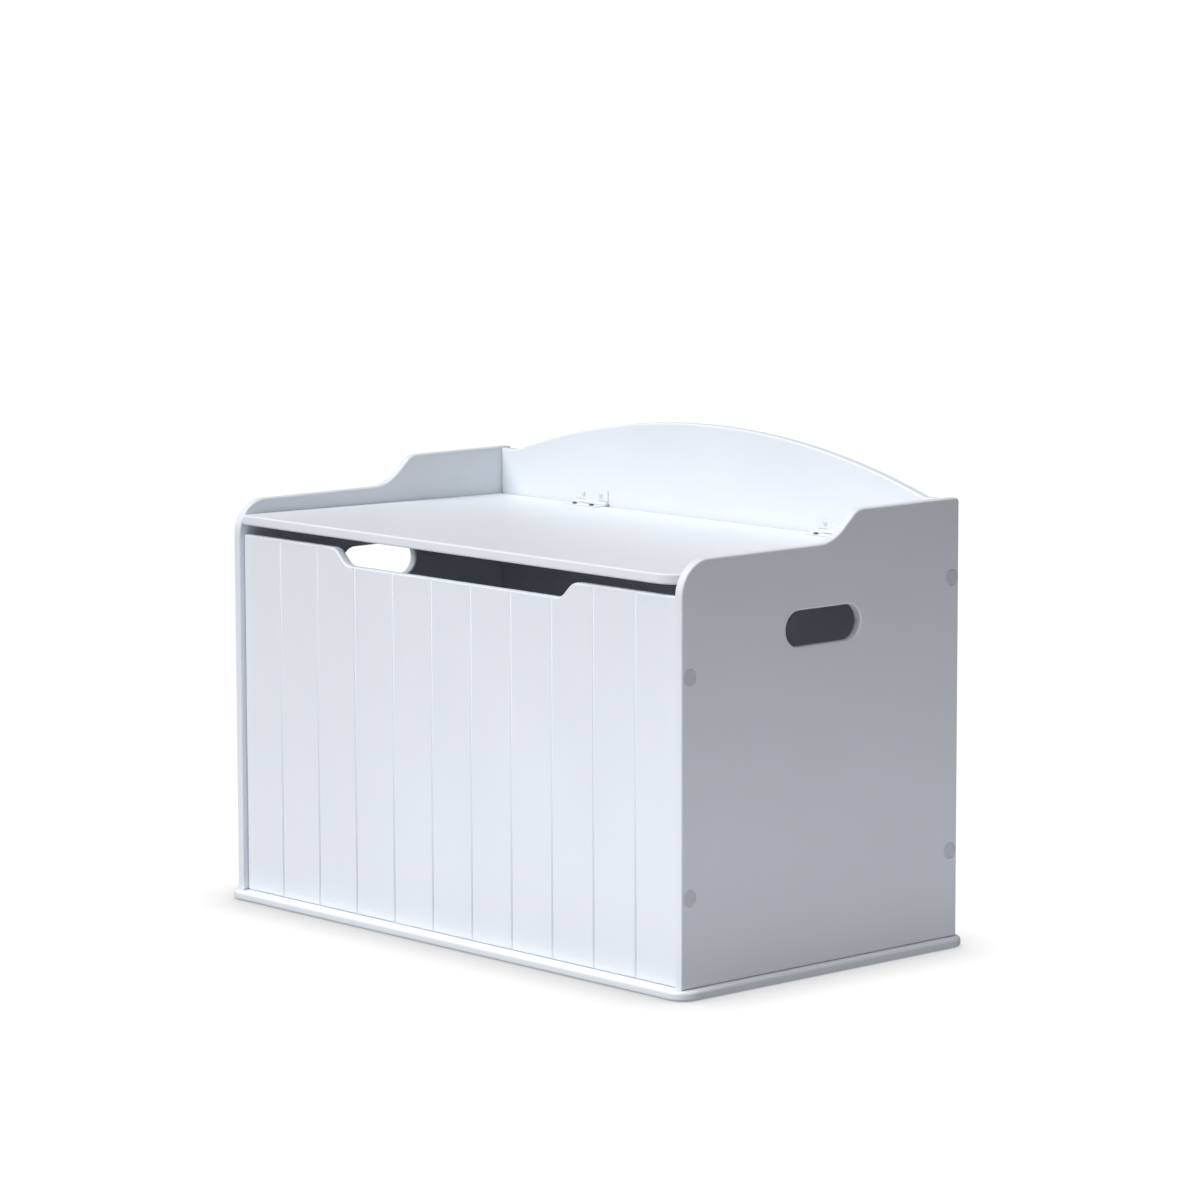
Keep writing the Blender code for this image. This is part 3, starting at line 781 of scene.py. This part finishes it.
def connector_mouth(sign, middle):
    place = Matrix.Translation((sign * outer, middle.y, middle.z))
    return place @ Matrix.Rotation(sign * quarter, 4, "Y")


def painted_board(obj, place, edge, body, node):
    smooth(obj)
    mark_edges(obj, place, board, edge)
    return fit(obj, "white_paint", body, node)


def side_board(side, sign):
    place = axes_matrix((0, 1, 0), (0, 0, 1), (sign * (outer - board / 2), 0, 0))
    outlines = [side_outline(), hand_slot_outline()]
    obj = flat_piece(f"{side}_side_board", outlines, board, place, board_round)
    cap_low, cap_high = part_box(f"{side}_front_screw_cap_1")
    pocket = (cap_high.z - cap_low.z) / 2 + pocket_clearance
    steps = (
        (pocket, cap_thickness + fit_gap),
        (connector_head + fit_gap, cap_thickness + connector_head_depth + 2 * fit_gap),
        (connector_shank + fit_gap, board + overrun),
    )
    for where in ("front", "back"):
        for hole_side, _, middle in connector_holes(where):
            if hole_side == side:
                drill(obj, steps, connector_mouth(sign, middle))
    for number in (1, 2):
        foot = middle_of(f"{side}_base_screw_{number}")
        mouth = Matrix.Translation((foot.x, foot.y, side_low.z)) @ Matrix.Rotation(2 * quarter, 4, "X")
        depth = base_screw_length - side_low.z + overrun
        drill(obj, [(base_screw_shank + fit_gap, depth)], mouth)
    painted_board(obj, place, board_round, "box", f"{side}_side_panel")


def drill_ends(obj, where):
    depth = cap_thickness + connector_length + overrun
    for _, sign, middle in connector_holes(where):
        drill(obj, [(connector_shank + fit_gap, depth)], connector_mouth(sign, middle))


def front_board():
    middle = (front_low.y + front_high.y) / 2
    place = axes_matrix((1, 0, 0), (0, 0, 1), (0, middle, 0))
    obj = flat_piece("front_board", [front_outline()], board, place, board_round)
    pitch = 2 * inner / boards_in_front
    height = front_high.z + 2 * overrun
    on_face = axes_matrix((1, 0, 0), (0, -1, 0), (0, front_low.y, height / 2 - overrun))
    groove = flat_piece("groove", [groove_outline()], height, on_face, edge=0, steps=1)
    cut_row(obj, groove, boards_in_front - 1, pitch, "white_paint")
    drill_ends(obj, "front")
    painted_board(obj, place, board_round, "box", "front_panel")


def back_board():
    middle = (back_low.y + back_high.y) / 2
    place = axes_matrix((1, 0, 0), (0, 0, 1), (0, middle, 0))
    obj = flat_piece("back_board", [back_outline()], board, place, board_round)
    drill_ends(obj, "back")
    for _, sign in SIDES:
        for x in hinge_screw_places(sign):
            mouth = axes_matrix((1, 0, 0), (0, 0, 1), (x, back_low.y, hinge_axis.z + back_leaf_screw))
            drill(obj, [(hinge_screw_hole, board - overrun)], mouth)
    painted_board(obj, place, board_round, "box", "back_panel")


def base_board():
    outline = rounded_rectangle(base_low.x, base_high.x, base_low.y, base_high.y, base_corner)
    thickness = base_high.z - base_low.z
    place = Matrix.Translation((0, 0, thickness / 2))
    obj = flat_piece("base_board", [outline], thickness, place, base_round, 7)
    for side, _ in SIDES:
        for number in (1, 2):
            low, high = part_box(f"{side}_base_screw_{number}")
            middle = (low + high) / 2
            head = (high.x - low.x) / 2
            mouth = Matrix.Translation((middle.x, middle.y, 0)) @ Matrix.Rotation(2 * quarter, 4, "X")
            steps = (
                (head + fit_gap, base_screw_recess + base_screw_head_depth + fit_gap),
                (base_screw_shank + fit_gap, thickness + overrun),
            )
            drill(obj, steps, mouth)
    smooth(obj)
    mark_edges(obj, place, thickness, base_round)
    fit(obj, "white_paint", "box", "base_plate")


def seat_board():
    place = lid_frame @ Matrix.Translation((0, 0, lid_top - board / 2))
    obj = flat_piece("seat_board", [lid_outline()], board, place, board_round)
    for _, sign in SIDES:
        for x in hinge_screw_places(sign):
            mouth = lid_frame @ Matrix.Translation((x, -lid_leaf_screw, lid_top))
            drill(obj, [(hinge_screw_hole, board - overrun)], mouth)
    painted_board(obj, place, board_round, "lid", "lid")


# --- Caps and hidden screws ---


def cover_cap(radius, proud, depth):
    """A push-in cap with a shallow dish and a rounded rim, its seat below height 0."""
    rim = proud + cap_dish
    profile = [(0, proud)]
    profile += [(radius * cap_dish_floor, proud), (radius * cap_dish_slope, proud + cap_dish / 2)]
    rolled = 4 * rim
    profile += arc((radius - rolled, rim - rolled), rolled, quarter, 0, quarter / 5)
    profile += [(radius, -depth), (0, -depth)]
    return turned_piece("cover_cap", profile, Matrix.Identity(4))


def cap_pair(side, sign, where, seed):
    nodes = [f"{side}_{where}_screw_cap_{number}" for number in (1, 2)]
    low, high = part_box(f"{side}_{where}_screw_cap_1")
    radius = (high.z - low.z) / 2
    proud = abs(sign * (high.x if sign > 0 else low.x) - outer)
    lower, upper = (middle_of(node) for node in nodes)
    cap = cover_cap(radius, proud - cap_dish, cap_thickness)
    place = axes_matrix((0, 0, 1), (0, sign, 0), (sign * outer, lower.y, (lower.z + upper.z) / 2))
    facing = place @ Matrix.Rotation(2 * quarter, 4, "X")
    row = piece_row(f"{side}_{where}_caps", cap, 2, upper.z - lower.z, facing, "cap_plastic", seed)
    bpy.data.objects.remove(cap, do_unlink=True)
    smooth(row)
    fit(row, "cap_plastic", "box", *nodes)


def base_screw_pair(side, seed):
    nodes = [f"{side}_base_screw_{number}" for number in (1, 2)]
    low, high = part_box(f"{side}_base_screw_1")
    middle, rear = (middle_of(node) for node in nodes)
    head = (high.x - low.x) / 2
    place = axes_matrix((0, 1, 0), (1, 0, 0), (middle.x, (middle.y + rear.y) / 2, base_screw_recess))

    def make():
        length = high.z - low.z
        return flat_screw(head, base_screw_head_depth, base_screw_shank, length, base_screw_slot)

    put_screws(f"{side}_base_screws", make, 2, rear.y - middle.y, place, "zinc_steel", "box", seed, nodes)


# --- Hinges ---


def hinge_screw_places(sign):
    middle = sign * hinge_middle
    return (middle - hinge_screw_spacing / 2, middle + hinge_screw_spacing / 2)


def leaf_outline(reach):
    """A leaf and its rolled knuckle, seen along the pin: the plate runs to -U below the axis."""
    plate_top = -knuckle_radius + leaf_thickness
    meets = 2 * quarter + math.asin(-plate_top / knuckle_radius)
    rolled = arc((0, 0), knuckle_radius, -quarter, meets, math.radians(8))
    return [(-reach, -knuckle_radius), *rolled, (-reach, plate_top)]


def leaf(name, reach, place, keeps_middle):
    """place has U and V across the pin and its local Z along the pin."""
    bore = arc((0, 0), hinge_pin_radius + fit_gap, 0, 4 * quarter, math.radians(15))[:-1]
    obj = flat_piece(name, [leaf_outline(reach), bore], hinge_width, place, leaf_edge, 2)
    across = 4 * knuckle_radius
    away = across / 2 - knuckle_radius - knuckle_gap
    if keeps_middle:
        length = hinge_width - middle_knuckle
        middles = (-hinge_width / 2, hinge_width / 2)
    else:
        length = middle_knuckle + 2 * knuckle_gap
        middles = (0.0,)
    for middle in middles:
        spot = place @ Matrix.Translation((away, 0, middle))
        cut(obj, block("knuckle_cut", (across, across, length), spot))
    return obj


def countersink(place):
    """A screw's clearance hole with a shallow dished mouth."""
    profile = [(0, overrun), (sink_mouth, overrun), (sink_mouth, 0)]
    profile += [(sink_throat, -sink_depth), (sink_throat, -overrun), (0, -overrun)]
    return turned_piece("countersink", profile, place, screw_sides)


def hinge(side, sign, seed):
    x = sign * hinge_middle
    axis = hinge_axis + Vector((x, 0, 0))
    along = lid_frame @ axes_matrix((0, 1, 0), (0, 0, 1), (x, 0, 0))
    upright = axes_matrix((0, 0, -1), (0, -1, 0), axis)
    top = leaf_thickness - knuckle_radius
    on_lid = lid_frame @ Matrix.Translation((x, -lid_leaf_screw, top))
    on_back = axes_matrix((1, 0, 0), (0, 0, 1), (x, hinge_axis.y - top, hinge_axis.z + back_leaf_screw))
    lid_nodes = [f"{side}_lid_hinge_screw_{number}" for number in (1, 2)]
    back_nodes = [f"{side}_back_hinge_screw_{number}" for number in (1, 2)]
    leaves = (
        ("lid", lid_leaf_reach, along, False, on_lid, "lid", "dark_steel", lid_nodes),
        ("back", back_leaf_reach, upright, True, on_back, "box", "white_metal", back_nodes),
    )
    for where, reach, place, keeps_middle, mouth, body, finish, nodes in leaves:
        obj = leaf(f"{side}_{where}_leaf", reach, place, keeps_middle)
        cut_row(obj, countersink(mouth), 2, hinge_screw_spacing, "white_metal")
        smooth(obj)
        fit(obj, "white_metal", body, f"{side}_hinge_{where}_leaf")
        seat = mouth @ Matrix.Translation((0, 0, fit_gap))
        name = f"{side}_{where}_leaf_screws"
        put_screws(name, hinge_screw, 2, hinge_screw_spacing, seat, finish, body, seed, nodes)
    hinge_pin(side, axis)


def hinge_pin(side, axis):
    """A plain pin with one domed head, its other end spun over a little."""
    place = axes_matrix((0, 1, 0), (0, 0, 1), axis)
    half = hinge_width / 2 + fit_gap
    rise = hinge_pin_head_height / 2
    dome = dome_angles(steps=5)
    profile = [(hinge_pin_head * math.sin(a), half + rise + rise * math.cos(a)) for a in dome]
    profile += [(hinge_pin_head, half), (hinge_pin_radius, half), (hinge_pin_radius, -half)]
    profile += [(hinge_pin_radius / 2, -half - fit_gap), (0, -half - fit_gap)]
    obj = turned_piece(f"{side}_pin", profile, place, screw_sides)
    smooth(obj)
    fit(obj, "white_metal", "box", f"{side}_hinge_pin")


# --- Lid stays ---


def arm_outline(start, end):
    along = end - start
    heading = math.atan2(along.y, along.x)
    half = stay_arm_width / 2
    points = arc(end, half, heading - quarter, heading + quarter)
    points += arc(start, half, heading + quarter, heading + 3 * quarter)
    return points


def inward_face(sign, x, y, z):
    """The frame of a head or a hole in a face that looks towards the middle of the box."""
    return axes_matrix((0, sign, 0), (0, 0, -1), (x, y, z))


def stay_arm(side, part, start, end, body):
    """A pressed steel arm between two pivots."""
    node = f"{side}_stay_{part}"
    place = axes_matrix((0, 1, 0), (0, 0, 1), (middle_of(node).x, 0, 0))
    holes = [circle(centre, stay_pin_radius + fit_gap) for centre in (start, end)]
    outlines = [arm_outline(start, end), *holes]
    obj = flat_piece(f"{side}_{part}_arm", outlines, stay_plate, place, stay_edge, 3)
    smooth(obj)
    fit(obj, "zinc_steel", body, node)


def stay_pin(sign, node, body):
    """A shouldered rivet with a domed, dimpled head towards the middle of the box."""
    low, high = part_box(node)
    middle = (low + high) / 2
    head_x, end_x = (high.x, low.x) if sign < 0 else (low.x, high.x)
    length = abs(head_x - end_x)
    place = inward_face(sign, head_x, middle.y, middle.z)
    seat = -stay_pin_head_height + fit_gap
    rise = stay_pin_head_height - 2 * fit_gap
    dome = dome_angles(steps=6)
    crown = [(stay_pin_head * math.sin(a), rise * (math.cos(a) - 1)) for a in dome]
    dimple = [(0, -fit_gap), (stay_pin_radius / 3, -fit_gap)]
    profile = dimple + [point for point in crown if point[0] > stay_pin_radius / 2]
    profile += [(stay_pin_head, seat), (stay_pin_radius, seat), (stay_pin_radius, -length), (0, -length)]
    obj = turned_piece(node.replace("stay_", "stay_rivet_"), profile, place, screw_sides)
    smooth(obj)
    fit(obj, "zinc_steel", body, node)


def damper(side, sign, pivot, seed):
    """Plastic housing with a ring around its shaft and two sunk screws."""
    node = f"{side}_stay_damper"
    low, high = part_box(node)
    thickness = high.x - low.x
    place = axes_matrix((0, 1, 0), (0, 0, 1), ((low.x + high.x) / 2, 0, 0))
    outline = rounded_rectangle(low.y, high.y, low.z, high.z, housing_corner)
    obj = flat_piece(f"{side}_damper_housing", [outline], thickness, place, housing_round, 4)
    face_x = low.x if sign > 0 else high.x
    mouth = inward_face(sign, face_x, pivot.y, pivot.z)
    drill(obj, [(stay_pin_radius + fit_gap, thickness * housing_bore_share)], mouth)
    inside = housing_ring_radius - 2 * housing_ring_depth
    ring = [(housing_ring_radius, overrun), (housing_ring_radius, -housing_ring_depth)]
    ring += [(inside, -housing_ring_depth), (inside, overrun), (housing_ring_radius, overrun)]
    cut(obj, turned_piece("ring", ring, mouth))
    screw_y = low.y + (high.y - low.y) * housing_screw_share
    middle_z = (low.z + high.z) / 2
    for z in (middle_z - housing_screw_across / 2, middle_z + housing_screw_across / 2):
        drill(obj, [(housing_pocket, housing_pocket)], inward_face(sign, face_x, screw_y, z))
    smooth(obj)
    fit(obj, "stay_plastic", "box", node)
    seat = (face_x + sign * housing_pocket, screw_y, middle_z)
    row = axes_matrix((0, 0, 1), (0, sign, 0), seat)
    name = f"{side}_damper_screws"
    put_screws(name, small_screw, 2, housing_screw_across, row, "zinc_steel", "box", seed)


def bracket_outline(ear, under, sign):
    """Section of the angle under the lid, bent with a radius: U is X and V is the lid's own Z."""
    outside = ear + sign * stay_plate / 2
    inside = ear - sign * stay_plate / 2
    centre = (outside - sign * bracket_bend, under - bracket_bend)
    turn = (0, quarter) if sign > 0 else (2 * quarter, quarter)
    outer_bend = arc(centre, bracket_bend, *turn)
    inner_bend = arc(centre, bracket_bend - stay_plate, turn[1], turn[0])
    far = outside - sign * bracket_flange
    foot = under - bracket_drop
    end = [(far, under), (far, under - stay_plate)]
    return [(outside, foot), *outer_bend, *end, *inner_bend, (inside, foot)]


def lid_bracket(side, sign, pivot, seed):
    node = f"{side}_stay_lid_bracket"
    low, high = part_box(node)
    ear = (high.x if sign > 0 else low.x) - sign * stay_plate / 2
    local = lid_frame.inverted() @ Vector((ear, pivot.y, pivot.z))
    under = lid_top - board - fit_gap
    length = high.y - low.y
    place = lid_frame @ axes_matrix((1, 0, 0), (0, 0, 1), (0, local.y, 0))
    outline = bracket_outline(ear, under, sign)
    obj = flat_piece(f"{side}_lid_angle", [outline], length, place, stay_edge / 2, 2)
    mouth = lid_frame @ Matrix.Translation(local + Vector((stay_plate / 2, 0, 0)))
    bore = mouth @ Matrix.Rotation(quarter, 4, "Y")
    drill(obj, [(stay_pin_radius + fit_gap, stay_plate + overrun)], bore)
    smooth(obj)
    fit(obj, "zinc_steel", "lid", node)
    flange_x = ear - sign * bracket_flange * bracket_screw_share
    seat = Vector((flange_x, local.y, under - stay_plate))
    row = lid_frame @ axes_matrix((0, 1, 0), (1, 0, 0), seat)
    name = f"{side}_lid_angle_screws"
    put_screws(name, small_screw, 2, bracket_screw_spacing, row, "zinc_steel", "lid", seed)


def lid_stay(side, sign, seed):
    shoulder = joint_places[f"{side}_stay_shoulder"]
    elbow = joint_places[f"{side}_stay_elbow"]
    lid_pivot = hinge_axis + elbow - shoulder
    stay_arm(side, "crank", shoulder.yz, elbow.yz, f"{side}_crank")
    stay_arm(side, "link", elbow.yz, lid_pivot.yz, f"{side}_link")
    stay_pin(sign, f"{side}_stay_damper_shaft", "box")
    stay_pin(sign, f"{side}_stay_elbow_pin", f"{side}_crank")
    stay_pin(sign, f"{side}_stay_lid_pin", "lid")
    damper(side, sign, shoulder, seed)
    lid_bracket(side, sign, lid_pivot, seed + 1)


# --- Lid rests ---


def lid_rest(side, sign, seed):
    """A painted strip with three sunk screws, and the pad on it."""
    low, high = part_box(f"{side}_lid_rest")
    width = high.x - low.x
    place = axes_matrix((0, 1, 0), (0, 0, 1), ((low.x + high.x) / 2, 0, 0))
    outline = rounded_rectangle(low.y, high.y, low.z, high.z, rest_corner)
    obj = flat_piece(f"{side}_rest_strip", [outline], width, place, rest_edge, 3)
    face_x = low.x if sign > 0 else high.x
    middle = (low + high) / 2
    for step in (-1, 0, 1):
        y = middle.y + step * rest_screw_spacing
        drill(obj, [(rest_pocket, rest_pocket_depth)], inward_face(sign, face_x, y, middle.z))
    smooth(obj)
    mark_edges(obj, place, width, rest_edge)
    fit(obj, "white_paint", "box", f"{side}_lid_rest")
    seat = (face_x + sign * rest_screw_sunk, middle.y, middle.z)
    row = axes_matrix((0, 1, 0), (0, 0, -sign), seat)
    name = f"{side}_rest_screws"
    put_screws(name, small_screw, 3, rest_screw_spacing, row, "zinc_steel", "box", seed)
    rest_pad(side)


def rest_pad(side):
    """A soft button with a rolled rim."""
    low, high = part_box(f"{side}_rest_pad")
    radius = (high.x - low.x) / 2
    height = high.z - low.z
    middle = (low + high) / 2
    profile = [(0, height), (radius * 0.5, height)]
    profile += arc((radius - pad_round, height - pad_round), pad_round, quarter, 0, math.radians(10))
    profile += [(radius, 0), (0, 0)]
    obj = turned_piece(f"{side}_pad", profile, Matrix.Translation((middle.x, middle.y, low.z)))
    smooth(obj)
    fit(obj, "pad_rubber", "box", f"{side}_rest_pad")


# --- Studio ---

camera_yaw = math.radians(47.70)
camera_pitch = math.radians(7.889)
camera_roll = math.radians(-0.1434)
camera_distance = 5.923
camera_target = Vector((0.023, 0.0, 0.4027))
camera_lens = 145.6
sensor_width = 36
camera_sight = 200

floor_reach = 90
floor_white = 1.04
# Glow of the floor at the darkest of its painted contact shadow; no lamp casts it.
painted_shadow_darkest = 0.66
contact_reach = 0.10
contact_open = 0.5  # share of open sky at the foot of a wall
contact_samples = 12
bounce_tint = (0.985, 1.0, 1.06)
bounce_middle = Vector((0.38, -0.20, 0.0))
bounce_shade = (0.0, 0.30, 0.36)  # start and end in metres from the base, and the darkest share
bounce_fade = (0.72, 1.40, 0.10)  # start and end in metres from its middle, and the darkest share
bounce_bright = 1.02
ambient = 0.235
backdrop_white = 1.05
key_towards = (-0.15, -0.58, 0.80)
key_strength = 3.02
key_angle = math.radians(50)
inside_glow = 0.065
inside_middle = (0.0, 0.0, 0.22)
inside_radius = 0.12
inside_tint = (0.92, 1.0, 0.98)


def camera():
    data = bpy.data.cameras.new("camera")
    data.sensor_width = sensor_width
    data.lens = camera_lens
    data.clip_end = camera_sight
    obj = new_object("camera", data)
    level = Matrix.Rotation(camera_yaw, 4, "Z")
    tip = Matrix.Rotation(quarter - camera_pitch, 4, "X")
    roll = Matrix.Rotation(camera_roll, 4, "Z")
    turned = level @ tip @ roll
    away = turned.to_3x3() @ Vector((0, 0, 1))
    obj.matrix_world = Matrix.Translation(camera_target + away * camera_distance) @ turned
    bpy.context.scene.camera = obj


def floor_plane(name, height, half):
    shape = bmesh.new()
    bmesh.ops.create_grid(shape, x_segments=1, y_segments=1, size=half)
    mesh = bpy.data.meshes.new(name)
    shape.to_mesh(mesh)
    shape.free()
    mesh.transform(Matrix.Translation((0, 0, height)))
    obj = new_object(name, mesh)
    return obj


def emitter(name, colour):
    """A material that only shines; returns it with its tree and the socket of its strength."""
    material = bpy.data.materials.new(name)
    material.use_nodes = True
    tree = material.node_tree
    tree.nodes.remove(tree.nodes["Principled BSDF"])
    shine = tree.nodes.new("ShaderNodeEmission")
    shine.inputs["Color"].default_value = (*colour, 1.0)
    tree.links.new(shine.outputs["Emission"], tree.nodes["Material Output"].inputs["Surface"])
    return material, tree, shine.inputs["Strength"]


def seen_floor():
    """The white floor that the camera sees, with a painted contact shadow: ambient occlusion dims its
    glow where the box stands close over it.
    """
    obj = floor_plane("floor", -fit_gap, floor_reach)
    for way in ("visible_diffuse", "visible_glossy", "visible_transmission", "visible_shadow"):
        setattr(obj, way, False)
    material, tree, strength = emitter("pale_floor", (1, 1, 1))
    # Painted contact shadow: ambient occlusion dims the floor's own glow near the box.
    painted_contact_shadow = tree.nodes.new("ShaderNodeAmbientOcclusion")
    painted_contact_shadow.samples = contact_samples
    painted_contact_shadow.inputs["Distance"].default_value = contact_reach
    light = ramp(tree, painted_contact_shadow.outputs["AO"], contact_open, 1, painted_shadow_darkest, floor_white)
    tree.links.new(light, strength)
    obj.data.materials.append(material)


def bounce_floor():
    """The light that a white floor throws back up: bright by the box and dimmer further out."""
    obj = floor_plane("bounce", -2 * fit_gap, floor_reach)
    obj.visible_camera = False
    material, tree, strength = emitter("bounce", bounce_tint)
    place = tree.nodes.new("ShaderNodeTexCoord")
    distance = tree.nodes.new("ShaderNodeVectorMath")
    distance.operation = "DISTANCE"
    distance.inputs[1].default_value = bounce_middle
    tree.links.new(place.outputs["Object"], distance.inputs[0])
    axes = tree.nodes.new("ShaderNodeSeparateXYZ")
    tree.links.new(place.outputs["Object"], axes.inputs[0])
    beside = []
    for axis, edge in (("X", base_high.x), ("Y", base_high.y)):
        reach = maths(tree, "ABSOLUTE", axes.outputs[axis], 0)
        beside.append(maths(tree, "SUBTRACT", reach, edge))
    away = maths(tree, "MAXIMUM", *beside)
    start, end, least = bounce_shade
    shade = ramp(tree, away, start, end, least * bounce_bright, bounce_bright)
    start, end, least = bounce_fade
    fade = ramp(tree, distance.outputs["Value"], start, end, 1.0, least)
    tree.links.new(maths(tree, "MULTIPLY", shade, fade), strength)
    obj.data.materials.append(material)


def key_light():
    """A broad soft light from above the front."""
    data = bpy.data.lights.new("key", "SUN")
    data.energy = key_strength
    data.angle = key_angle
    obj = new_object("key", data)
    obj.rotation_euler = Vector(key_towards).to_track_quat("Z", "Y").to_euler()


def inside_light():
    """A faint light within the box, as the room's light scatters about in it."""
    data = bpy.data.lights.new("inside", "POINT")
    data.energy = inside_glow
    data.shadow_soft_size = inside_radius
    data.color = inside_tint
    data.specular_factor = 0.0
    obj = new_object("inside", data)
    obj.location = inside_middle


def studio_world():
    """A white backdrop to look at, and a dimmer one to light the box."""
    world = bpy.data.worlds.new("studio")
    bpy.context.scene.world = world
    world.use_nodes = True
    tree = world.node_tree
    background = tree.nodes["Background"]
    path = tree.nodes.new("ShaderNodeLightPath")
    level = ramp(tree, path.outputs["Is Camera Ray"], 0, 1, ambient, backdrop_white)
    tree.links.new(level, background.inputs["Strength"])
    background.inputs["Color"].default_value = (1, 1, 1, 1)


def studio():
    bpy.context.scene.view_settings.view_transform = "Standard"
    camera()
    seen_floor()
    bounce_floor()
    key_light()
    inside_light()
    studio_world()


# --- The box ---

hinge_middle = abs(middle_of("right_hinge_pin").x)
finishes = {make.__name__: make() for make in FINISH_MAKERS}
trees = {"pieces": piece_row_tree(), "cuts": cut_row_tree()}

studio()
base_board()
front_board()
back_board()
seat_board()
for number, (side, sign) in enumerate(SIDES):
    seed = 20 * (number + 1)
    side_board(side, sign)
    lid_rest(side, sign, seed)
    hinge(side, sign, seed + 2)
    lid_stay(side, sign, seed + 4)
    for where in ("front", "back"):
        cap_pair(side, sign, where, seed + 7)
    base_screw_pair(side, seed + 9)
for name, obj in frame["nodes"].items():
    if not obj.hide_render:
        obj.data.materials.clear()
        obj.data.materials.append(finishes["zinc_steel"])
